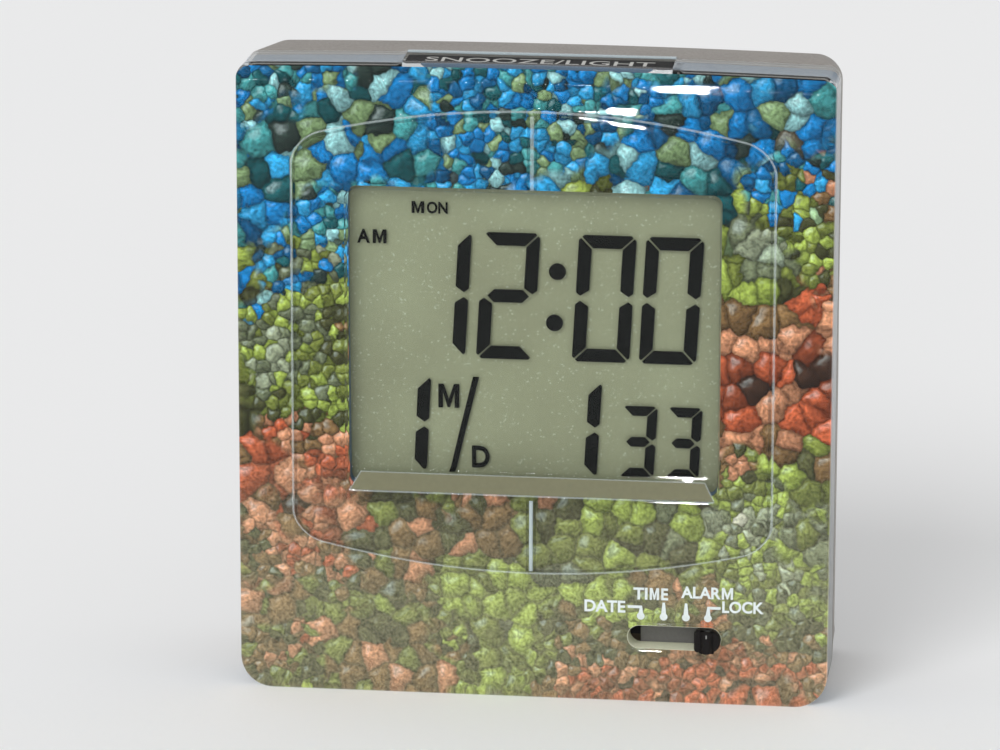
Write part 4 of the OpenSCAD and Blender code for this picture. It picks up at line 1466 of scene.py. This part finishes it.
@dataclass
class SlideKnob:
    """Black slide knob: a roofed head over the slot, on a flat carrier behind the card."""

    x: float = 24.45
    z: float = 9.5
    width: float = 3.6
    height: float = 3.2
    tip: float = -1.98
    head_depth: Pair = (-1.1, -0.03)
    head_radii: tuple[float, ...] = (0.5, 1.4, 1.4, 0.5)
    roof_half: Pair = (1.1, 0.4)
    roof_foot: float = -0.8
    roof_radii: tuple[float, ...] = (0.05, 0.3, 0.3, 0.05)
    neck_depth: Pair = (-0.5, 4.2)
    carrier_left: float = 9.7
    carrier_right: float = 6.6
    carrier_tall: float = 3.0
    carrier_depth: Pair = (3.9, 6.9)
    highlight_half: float = 0.09
    highlight_depth: Pair = (0.2, -0.02)
    highlight_z: Pair = (0.75, 1.25)

    def build(self, finish: Material, carrier: Material, mark: Material) -> None:
        """Builds the head, neck and carrier, and a painted highlight line on the ridge.

        Args:
            finish: Material of the knob.
            carrier: Material of the carrier.
            mark: Material of the painted highlight on the ridge.
        """
        x, z, tip = self.x, self.z, self.tip
        half, tall = self.width / 2.0, self.height / 2.0
        foot, crest = self.roof_half
        shell = Shell()
        shell.block(box_corners(x - half, x + half, z - tall, z + tall), self.head_radii, self.head_depth,
                    Axis.Y, (0.4, 0.0))
        roof = [(x - foot, self.roof_foot), (x - crest, tip), (x + crest, tip), (x + foot, self.roof_foot)]
        shell.block(roof, self.roof_radii, (z - tall, z + tall), Axis.Z, (0.35, 0.35))
        shell.prism(capsule((x, z), self.width, self.height), self.neck_depth, Axis.Y)
        shell.piece("slide_knob", Body.MODE, Slot.BLACK, finish, "mode_knob")
        plate = Shell()
        plate.block(box_corners(x - self.carrier_left, x + self.carrier_right, z - self.carrier_tall,
                                z + self.carrier_tall), 0.4, self.carrier_depth, Axis.Y, (0.2, 0.2))
        plate.piece("slide_carrier", Body.MODE, Slot.BLACK, carrier)
        # Painted highlight: a grey line on the top of the roof's ridge, where it catches the light.
        near, far = (tip + y for y in self.highlight_depth)
        line = Shell()
        line.block(box_corners(x - self.highlight_half, x + self.highlight_half, near, far), 0.02,
                   (z + self.highlight_z[0], z + self.highlight_z[1]), Axis.Z, (0.02, 0.02), (5, 2))
        line.piece("knob_painted_highlight", Body.MODE, Slot.BLACK, mark)


@dataclass
class SnoozeBar:
    """Black bar in the notch of the top edge, with white words on its slope."""

    half: float = 18.4
    front: float = 4.2
    back: float = 9.1
    foot: float = 84.7
    low_top: float = 88.75
    high_top: float = 88.9
    crest: float = 0.6
    radii: tuple[float, ...] = (0.1, 0.1, 0.25, 0.5, 0.4)
    flange_half: float = 20.2
    flange_tall: float = 1.2
    words_box: Box = (-15.6, 15.8, 5.45, 7.9)
    words_weight: float = 0.006
    words_lift: float = 0.015

    def build(self, finish: Material, print_white: Material) -> None:
        """Builds the bar and its words, which lie a little above the bar's slope.

        Args:
            finish: Material of the bar.
            print_white: Material of the words.
        """
        crest = self.back - self.crest
        shell = Shell()
        profile = [(self.front, self.foot), (self.back, self.foot), (self.back, self.high_top),
                   (crest, self.high_top), (self.front, self.low_top)]
        shell.block(profile, self.radii, (-self.half, self.half), Axis.X, (0.35, 0.35))
        shell.block(box_corners(self.front, self.back, self.foot, self.foot + self.flange_tall), 0.1,
                    (-self.flange_half, self.flange_half), Axis.X, (0.1, 0.1))
        shell.piece("snooze_bar_cap", Body.SNOOZE, Slot.BLACK, finish, "snooze_bar")
        flat, faces = lettering("SNOOZE/LIGHT", self.words_box, self.words_weight)
        slope = (self.high_top - self.low_top) / (crest - self.front)
        rise = self.low_top + (flat[:, 1] - self.front) * slope + self.words_lift
        words = Shell()
        words.patch(np.stack([flat[:, 0], flat[:, 1], rise], axis=1), faces)
        words.piece("snooze_bar_words", Body.SNOOZE, Slot.BLACK, print_white)


@dataclass
class RearCase:
    """Grey rear case: crowned shell with a battery hump, wells, sound holes and a battery tray.

    A lip is rows of how far an opening is widened and how far in from the back.
    """

    form: CaseForm
    rim: float = 11.0
    wall: float = 1.8
    hump: float = 30.0
    upper: float = 24.0
    taper: float = 0.7
    corner: float = 4.2
    outer_soft: Triple = (2.0, 3.0, 1.5)
    inner_soft: Triple = (0.4, 0.4, 0.4)
    lip: tuple[Pair, ...] = ((0.3, 0.0), (0.15, 0.04), (0.04, 0.15), (0.0, 0.3))
    post_x: float = 35.0
    post_z: Pair = (6.5, 81.3)
    post_radius: float = 2.7
    post_front: float = 14.3
    well_radius: float = 2.4
    well_floor: float = 17.0
    screw_radius: float = 1.25
    set_x: Pair = (6.0, 20.0)
    set_z: float = 70.1
    set_radius: float = 3.6
    sound_x: float = -16.0
    sound_radius: float = 0.9
    sound_ring: float = 4.5
    sound_count: int = 6
    sound_lip: float = 0.5
    opening: Triple = (26.4, 8.35, 34.15)
    opening_lip: tuple[Pair, ...] = ((0.25, 0.0), (0.1, 0.06), (0.0, 0.25))
    tray_floor: float = 17.1
    tray_wall: float = 1.2
    ledge: float = 1.4
    flange_inset: Pair = (0.78, 1.7)
    flange_depth: Pair = (9.6, 11.3)

    def depth_at(self, z: Array, inset: float) -> Array:
        """Gives the back's depth by height: deep below, a slope with round ends, shallow above.

        Args:
            z: Heights.
            inset: How far inside the back it lies.

        Returns:
            Depth y at each height.
        """
        short = 1.0 - np.cos(HUMP_TURN)
        depth = np.concatenate([self.hump - HUMP_CREST_ROUND * short,
                                self.upper + HUMP_FOOT_ROUND * short[::-1]])
        return np.interp(z, HUMP_LEVELS, depth) - inset

    def skin(self, shell: Shell, inset: float, soft: Triple, holes: dict[BackPart, list[Array]]) -> Array:
        """Adds one skin of the case: tapered side wall, rounded rear edge, back with holes.

        At a turn a of the rear edge each side is drawn in by r(1 - cos a) and lies r(1 - sin a)
        short of the back. The top and sides draw in steadily from the rim, and the top corners
        widen from the cover's to the case's own.

        Args:
            shell: Where the skin goes.
            inset: How far inside the outer skin it lies.
            soft: Radius of the rear edge at the sides, the top and the base.
            holes: Loops cut out of each part of the back.

        Returns:
            The skin's first ring, at the rim.
        """
        side, top, base = soft
        rings = [self.form.ring(inset, self.rim)]
        for short, draw in rounding(6):
            flat, normal = self.form.outline(*(inset + r * draw for r in soft), self.corner)
            nz = normal[:, 1]
            radius = side + (top - side) * ease(0.0, 1.0, nz) + (base - side) * ease(0.0, 1.0, -nz)
            reach = (self.depth_at(flat[:, 1], inset) - radius * short - self.rim) / (self.upper - self.rim)
            flat = flat - normal * (self.taper * reach * (1.0 - ease(0.0, 0.9, -nz)))[:, None]
            rings.append(at_depth(flat, self.depth_at(flat[:, 1], inset) - radius * short))
        shell.rings(np.stack(rings))
        last = rings[-1]
        right = len(ACROSS) + CORNER_STEPS
        left = TOP_START + len(ACROSS) + CORNER_STEPS
        rights = np.arange(right, right + len(UP))
        lefts = np.arange(left, left + len(UP))[::-1]
        lower, upper = 1, len(UP) - 2
        shell.strip(last[rights[lower:upper + 1]], last[lefts[lower:upper + 1]])
        shell.plate([last[np.arange(rights[upper], lefts[upper] + 1)]] + holes[BackPart.UPPER])
        below = np.concatenate([np.arange(lefts[lower], len(last)), np.arange(0, rights[lower] + 1)])
        shell.plate([last[below]] + holes[BackPart.HUMP])
        return rings[0]

    def lipped(self, radius: float, back: float, share: float = 1.0) -> list[Pair]:
        """Gives the profile of a round opening's lip at the back."""
        return [(radius + share * grow, back - share * short) for grow, short in self.lip]

    def bores(self) -> list[tuple[BackPart, list[Pair], Pair, int]]:
        """Lists the round openings of the back: button holes, sound holes and screw posts.

        Returns:
            For each its part of the back, profile of radius and depth, middle and number of sides.
        """
        under = self.upper - self.wall
        hole = self.lipped(self.set_radius, self.upper) + [(self.set_radius, under)]
        listed = [(BackPart.UPPER, hole, (x, self.set_z), 48) for x in self.set_x]
        turns = [k * 2.0 * math.pi / self.sound_count for k in range(self.sound_count)]
        spots = [(self.sound_x, self.set_z)] + [
            (self.sound_x + self.sound_ring * math.cos(a), self.set_z + self.sound_ring * math.sin(a))
            for a in turns]
        hole = self.lipped(self.sound_radius, self.upper, self.sound_lip) + [(self.sound_radius, under)]
        listed += [(BackPart.UPPER, hole, spot, 24) for spot in spots]
        for side in (-1, 1):
            for part, z, back in ((BackPart.HUMP, self.post_z[0], self.hump),
                                  (BackPart.UPPER, self.post_z[1], self.upper)):
                post = self.lipped(self.well_radius, back) + [
                    (self.well_radius, self.well_floor), (self.screw_radius, self.well_floor),
                    (self.screw_radius, self.post_front), (self.post_radius, self.post_front),
                    (self.post_radius, back - self.wall)]
                listed.append((part, post, (side * self.post_x, z), 40))
        return listed

    def tray_ring(self, grow: float, depth: float, soften: float = 0.0) -> Array:
        """Gives the battery opening's outline, a rounded rectangle, at a depth.

        Args:
            grow: How far it is widened all round.
            depth: Its y.
            soften: How much its corners are widened.

        Returns:
            Rows of x, y, z.
        """
        half, low, high = self.opening
        corner = LEAST_CORNER + soften
        return at_depth(rounded_rect(half + grow, low - grow, high + grow, corner, corner)[0], depth)

    def tray_rings(self) -> tuple[Array, Array]:
        """Gives the battery opening and tray as rings of rounded rectangles.

        Returns:
            The rings from the back down to the tray's floor, and those of the tray's outside.
        """
        under, wall, ledge = self.hump - self.wall, self.tray_wall, self.ledge
        inside = [self.tray_ring(grow, self.hump - short, grow) for grow, short in self.opening_lip]
        inside += [self.tray_ring(0.0, under), self.tray_ring(-ledge, under),
                   self.tray_ring(-ledge, self.tray_floor)]
        outside = [self.tray_ring(wall, under), self.tray_ring(wall, under - ledge),
                   self.tray_ring(wall - ledge, under - ledge),
                   self.tray_ring(wall - ledge, self.tray_floor - wall)]
        return np.stack(inside), np.stack(outside)

    def build(self, finish: Material) -> None:
        """Builds both skins and joins them at the rim and at every hole.

        Args:
            finish: Material of the case.
        """
        shell = Shell()
        outer: dict[BackPart, list[Array]] = {part: [] for part in BackPart}
        inner: dict[BackPart, list[Array]] = {part: [] for part in BackPart}
        for part, profile, centre, sides in self.bores():
            rings = turned(profile, centre, sides)
            shell.rings(rings)
            outer[part].append(rings[0])
            inner[part].append(rings[-1])
        for rings, loops in zip(self.tray_rings(), (outer, inner)):
            shell.cup(rings)
            loops[BackPart.HUMP].append(rings[0])
        first = self.skin(shell, 0.0, self.outer_soft, outer)
        second = self.skin(shell, self.wall, self.inner_soft, inner)
        shell.rings(np.stack([first, second]))
        (near, far), (outside, inside) = self.flange_depth, self.flange_inset
        loop = [(outside, near), (outside, far), (inside, far), (inside, near), (outside, near)]
        shell.rings(np.stack([self.form.ring(inset, y) for inset, y in loop]))
        shell.piece("rear_case_shell", Body.CASE, Slot.GREY, finish, "rear_case")


@dataclass
class BatteryDoor:
    """Battery door with a spring tongue, finger grooves and two hinge tabs."""

    half: float = 26.2
    low: float = 8.55
    high: float = 33.95
    inside: float = 28.2
    outside: float = 30.0
    edge: float = 0.25
    tongue_half: float = 5.8
    cut_wide: float = 0.8
    cut_deep: float = 8.0
    radii: tuple[float, ...] = (0.6, 0.6, 0.3, 0.38, 0.38, 0.3)
    groove_length: float = 9.2
    groove_height: float = 0.6
    groove_pitch: float = 1.5
    groove_drop: float = 6.3
    groove_count: int = 4
    groove: tuple[Pair, ...] = ((0.12, 0.0), (0.02, 0.08), (-0.06, 0.3), (-0.18, 0.4))
    tab_x: float = 14.0
    tab_half: float = 3.0
    tab: tuple[Pair, ...] = (
        (28.3, 10.15), (28.3, 12.15), (26.9, 11.15), (26.9, 6.95), (28.1, 6.95), (28.1, 10.15))
    tab_radii: tuple[float, ...] = (0.0, 0.0, 0.2, 0.3, 0.3, 0.0)

    def outline(self) -> Array:
        """Gives the door's outline, with a cut on each side of the tongue.

        Returns:
            Rows of x and z.
        """
        top, cut = self.high, self.high - self.cut_deep
        near, far = self.tongue_half, self.tongue_half + self.cut_wide
        right = [(self.half, self.low), (self.half, top), (far, top), (far, cut), (near, cut), (near, top)]
        left = [(-x, z) for x, z in right[::-1]]
        radii = [*self.radii[:1], *self.radii, *self.radii[:0:-1]]
        return filleted(left[-1:] + right + left[:-1], radii, 5)

    def build(self, finish: Material) -> None:
        """Builds the door as an outline with a rounded outer edge, and lays the grooves and tabs.

        Args:
            finish: Material of the door.
        """
        shell = Shell()
        outline = self.outline()
        normal = outward(outline)
        edge = [at_depth(outline - normal * self.edge * draw, self.outside - self.edge * back)
                for draw, back in rounding(4)]
        shell.cup(np.stack(edge + [at_depth(outline, self.inside)]))
        holes = []
        for k in range(self.groove_count):
            z = self.high - self.groove_drop + self.groove_pitch * k
            groove = [at_depth(capsule((0.0, z), self.groove_length, self.groove_height, grow, 8),
                               self.outside - deep) for grow, deep in self.groove]
            shell.cup(np.stack(groove))
            holes.append(groove[0])
        shell.plate([edge[0]] + holes)
        for x in (-self.tab_x, self.tab_x):
            span = (x - self.tab_half, x + self.tab_half)
            shell.block(self.tab, self.tab_radii, span, Axis.X, (0.15, 0.15))
        shell.piece("battery_door_panel", Body.DOOR, Slot.GREY, finish, "battery_door")


@dataclass
class SetButton:
    """Round setting button with a dished top, on a flange inside the case.

    Its profile is rows of radius and depth.
    """

    name: str
    node: str
    body: Body
    x: float
    z: float
    profile: tuple[Pair, ...] = (
        (0.02, 24.5), (1.0, 24.52), (1.9, 24.6), (2.6, 24.74), (2.95, 24.8), (3.2, 24.76),
        (3.4, 24.62), (3.48, 24.4), (3.5, 24.1), (3.5, 22.0), (4.4, 22.0), (4.4, 21.0),
        (2.0, 21.0), (2.0, 19.0), (0.02, 19.0))

    def build(self, finish: Material) -> None:
        """Turns the button's profile round its axis.

        Args:
            finish: Material of the button.
        """
        shell = Shell()
        shell.closed(turned(self.profile, (self.x, self.z), 56))
        shell.piece(self.name, self.body, Slot.BLACK, finish, self.node)


@dataclass(frozen=True)
class Lamp:
    """A studio lamp that points at the clock.

    Azimuth, to the right from the front, and elevation are degrees, and the distance is metres.
    The size is a sun's angle in degrees, twice, or a strip's width and height in metres.
    """

    name: str
    kind: LampKind
    azimuth: float
    elevation: float
    distance: float
    strength: float
    size: Pair


@dataclass
class Studio:
    """Floor, light and camera."""

    target: Triple = (0.0, -14.0, 44.41)
    distance: float = 0.8
    azimuth: float = 6.89
    elevation: float = 14.52
    roll: float = 0.18
    lens: float = 210.11
    shift: Pair = (-0.03239, 0.01454)
    ambient: float = 0.6
    floor_half: float = 6.0
    floor_level: float = -0.00004
    lamps: tuple[Lamp, ...] = (
        Lamp("key", LampKind.SUN, -22.0, 38.0, 2.0, 1.2, (28.0, 28.0)),
        Lamp("fill", LampKind.SUN, 4.0, 16.0, 2.0, 0.5, (24.0, 24.0)),
        Lamp("glint", LampKind.STRIP, -3.7, 22.0, 0.8, 12.0, (0.015, 0.6)),
        Lamp("streak", LampKind.STRIP, 0.0, 24.0, 0.8, 3.0, (1.0, 0.02)))

    def floor(self) -> None:
        """Lays a wide pale floor just under the clock."""
        side = np.linspace(-self.floor_half, self.floor_half, 13)
        x, y = np.meshgrid(side, side)
        points = np.stack([x.ravel(), y.ravel(), np.full(x.size, self.floor_level)], axis=1)
        index = np.arange(x.size).reshape(x.shape)
        quads = np.stack([index[:-1, :-1], index[:-1, 1:], index[1:, 1:], index[1:, :-1]], axis=-1)
        mesh = bpy.data.meshes.new("studio_floor")
        mesh.from_pydata(points.tolist(), [], quads.reshape(-1, 4).tolist())
        mesh.materials.append(PaleFloor("pale_floor").make())
        made = bpy.data.objects.new("studio_floor", mesh)
        bpy.context.scene.collection.objects.link(made)

    def sky(self) -> None:
        """Surrounds the scene with even soft light."""
        world = bpy.data.worlds.new("studio_sky")
        bpy.context.scene.world = world
        world.use_nodes = True
        nodes, links = world.node_tree.nodes, world.node_tree.links
        nodes.clear()
        light, out = nodes.new("ShaderNodeBackground"), nodes.new("ShaderNodeOutputWorld")
        light.inputs[0].default_value = (1.0, 1.0, 1.0, 1.0)
        light.inputs[1].default_value = self.ambient
        links.new(light.outputs[0], out.inputs[0])

    def seen_from(self, azimuth: float, elevation: float, distance: float) -> tuple[Vector, Vector]:
        """Gives a place round the clock.

        Args:
            azimuth: Degrees round from the front, to the right.
            elevation: Degrees up.
            distance: Metres from the clock.

        Returns:
            The place in metres, and the unit vector to it from the clock.
        """
        a, e = math.radians(azimuth), math.radians(elevation)
        way = Vector((math.sin(a) * math.cos(e), -math.cos(a) * math.cos(e), math.sin(e)))
        return Vector(self.target) * MM + way * distance, way

    def hang(self, lamp: Lamp, mirrors: bpy.types.Collection) -> None:
        """Hangs one lamp.

        Args:
            lamp: The lamp.
            mirrors: Pieces that mirror it, if it is a strip.
        """
        data = bpy.data.lights.new(lamp.name, lamp.kind.value)
        data.energy = lamp.strength
        mirrored = lamp.kind is LampKind.STRIP
        if mirrored:
            data.shape = "RECTANGLE"
            data.size, data.size_y = lamp.size
        else:
            data.angle = math.radians(lamp.size[0])
        made = bpy.data.objects.new(lamp.name, data)
        made.location, way = self.seen_from(lamp.azimuth, lamp.elevation, lamp.distance)
        made.rotation_euler = way.to_track_quat("Z", "Y").to_euler()
        made.visible_glossy = mirrored
        made.visible_diffuse = not mirrored
        made.visible_transmission = False
        if mirrored:
            made.light_linking.receiver_collection = mirrors
        bpy.context.scene.collection.objects.link(made)

    def camera(self) -> None:
        """Sets the camera where the photograph was taken from."""
        data = bpy.data.cameras.new("camera")
        data.sensor_width = 36.0
        data.lens = self.lens
        data.shift_x, data.shift_y = self.shift
        data.clip_start, data.clip_end = 0.05, 50.0
        place, way = self.seen_from(self.azimuth, self.elevation, self.distance)
        roll = Matrix.Rotation(math.radians(self.roll), 4, "Z")
        turn = way.to_track_quat("Z", "Y").to_matrix().to_4x4() @ roll
        made = bpy.data.objects.new("camera", data)
        made.matrix_world = Matrix.Translation(place) @ turn
        bpy.context.scene.collection.objects.link(made)
        bpy.context.scene.camera = made

    def build(self, glossy: Sequence[bpy.types.Object]) -> None:
        """Sets up the whole studio.

        Args:
            glossy: Pieces that mirror the strip lamps.
        """
        mirrors = bpy.data.collections.new("mirrors")
        for made in glossy:
            mirrors.objects.link(made)
        self.floor()
        self.sky()
        for lamp in self.lamps:
            self.hang(lamp, mirrors)
        self.camera()
        bpy.context.scene.view_settings.view_transform = "Standard"


FRAME_FINISHES: tuple[tuple[Finish, tuple[str, ...]], ...] = (
    (PlatedMetal("nickel_steel", (190, 188, 182)),
     ("clock_crystal", "board_screws", "case_screws", "positive_contact", "negative_contact",
      "link_contact", "contact_springs")),
    (PlatedMetal("sounder_brass", (198, 162, 84)), ("sounder_disc",)),
    (PlatedMetal("contact_bronze", (202, 156, 92)), ("mode_wiper",)),
    (MouldedPlastic("switch_black", (34, 34, 35)), ("snooze_switch", "set_switches")),
    (MouldedPlastic("chip_resin", (20, 20, 21), 0.25, 0.6), ("clock_chip",)),
    # Painted reflection: the frame's grey is tinted blue to stand for the blue reflection in the band seen
    # through the clear top wall.
    (MouldedPlastic("frame_grey_painted_blue", (82, 106, 128)), ("main_frame",)),
    (MouldedPlastic("guide_acrylic", (214, 222, 220), 0.15), ("light_guide",)),
    (MouldedPlastic("white_film", (232, 232, 228), 0.5), ("reflector_sheet",)),
    (MouldedPlastic("lamp_resin", (226, 222, 186), 0.2), ("backlight_lamps",)),
    (MouldedPlastic("strip_rubber", (96, 92, 96), 0.7), ("contact_strip",)),
    (MouldedPlastic("board_laminate", (140, 128, 108), 0.4, 1.2), ("circuit_board",)),
    (MouldedPlastic("capacitor_ceramic", (176, 142, 100), 0.4), ("chip_capacitors",)),
    (MouldedPlastic("resistor_ceramic", (40, 40, 42), 0.35), ("chip_resistors",)),
    (MouldedPlastic("carbon_pads", (78, 78, 80), 0.6), ("switch_pads",)),
    (MouldedPlastic("plunger_plastic", (208, 206, 198), 0.5), ("snooze_plunger",)),
    (MouldedPlastic("hour_plunger_plastic", (208, 206, 198), 0.5), ("hour_plunger",)),
    (MouldedPlastic("minute_plunger_plastic", (208, 206, 198), 0.5), ("minute_plunger",)),
    (MouldedPlastic("upper_cell_wrap", (44, 62, 96), 0.3, 0.8), ("upper_cell",)),
    (MouldedPlastic("lower_cell_wrap", (44, 62, 96), 0.3, 0.8), ("lower_cell",)),
    (MouldedPlastic("lead_red", (170, 40, 36), 0.5), ("battery_leads",)),
    (MouldedPlastic("sounder_ceramic", (226, 222, 210), 0.45), ("sounder_ceramic",)),
    (MouldedPlastic("lead_black", (30, 30, 32), 0.5), ("sounder_leads",)),
)


def dress_node(name: str, finish: Material) -> None:
    """Gives one frame node its material.

    Args:
        name: Name of the node.
        finish: Its material.
    """
    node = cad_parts[name]
    node.data.materials.clear()
    node.data.materials.append(finish)
    LOG.info("frame node %s: %s", name, finish.name)


def dress_frame(picture: Material) -> None:
    """Gives each frame node that stays in sight its finish.

    Args:
        picture: Material of the picture card.
    """
    dress_node("picture_card", picture)
    for finish, names in FRAME_FINISHES:
        made = finish.make()
        for name in names:
            dress_node(name, made)


def main() -> None:
    """Builds the clock's pieces in order and sets up the studio."""
    logging.basicConfig(level=logging.INFO, format="%(name)s: %(message)s")
    black = MouldedPlastic("black_plastic", (30, 28, 28), 0.5, level=0.12).make()
    grey = MouldedPlastic("grey_plastic", (149, 143, 137), 0.45).make()
    white = Ink("white_print", (250, 250, 248)).make()
    # This pale film paints the highlights on the cover's edges and on the upper rib.
    pale = ClearFilm("edge_painted_highlight", (222, 232, 232), 0.2, 0.2, 0.4).make()
    # This dark film paints the shade along the cover's edges and beside the ribs.
    dark = ClearFilm("edge_painted_shade", (36, 42, 44), 0.18, 0.3).make()
    # This pale film paints the highlights on the lower rib and on the ridge behind the snooze bar.
    rib = ClearFilm("rib_painted_highlight", (214, 228, 234), 0.54, 0.15, 0.5).make()
    picture = PebblePrint("pebble_card").make()
    form = CaseForm()
    dress_frame(picture)
    cover = FrontCover(form)
    shell = cover.build(ClearPlastic("clear_cover").make())
    cover.painted_ridge_highlight(rib)
    cover.painted_edge_highlights(pale)
    cover.ribs(rib, pale, dark)
    # Painted view: this film stands for the darker band of the display seen through the sloped clear bevel.
    cover.bevel(ClearFilm("bevel_painted_view", (132, 131, 106), 0.88, 0.35).make())
    cover.printed_edge(picture)
    # Painted light: this pale film on the slot's wall stands for the lit clear plastic.
    cover.sleeve(ClearFilm("slot_wall_painted_light", (245, 246, 222), 0.86, 0.35).make())
    Display().build(DisplayGround("display_ground").make(), Ink("segment_black", (9, 10, 9), 0.5).make(),
                    ClearFilm("display_glass", (150, 156, 140), 0.008, 0.08).make())
    SwitchLabels().build(white)
    # The grey ink line on the knob is a painted highlight.
    SlideKnob().build(black, MouldedPlastic("carrier_plastic", (112, 111, 110), 0.5).make(),
                      Ink("knob_ridge_highlight", (150, 150, 148)).make())
    SnoozeBar().build(black, Ink("bar_print", (200, 200, 196)).make())
    rear = RearCase(form)
    rear.build(grey)
    BatteryDoor().build(grey)
    SetButton("hour_button_cap", "hour_button", Body.HOUR, rear.set_x[0], rear.set_z).build(black)
    SetButton("minute_button_cap", "minute_button", Body.MINUTE, rear.set_x[1], rear.set_z).build(black)
    Studio().build([shell])


if __name__ == "__main__":
    main()
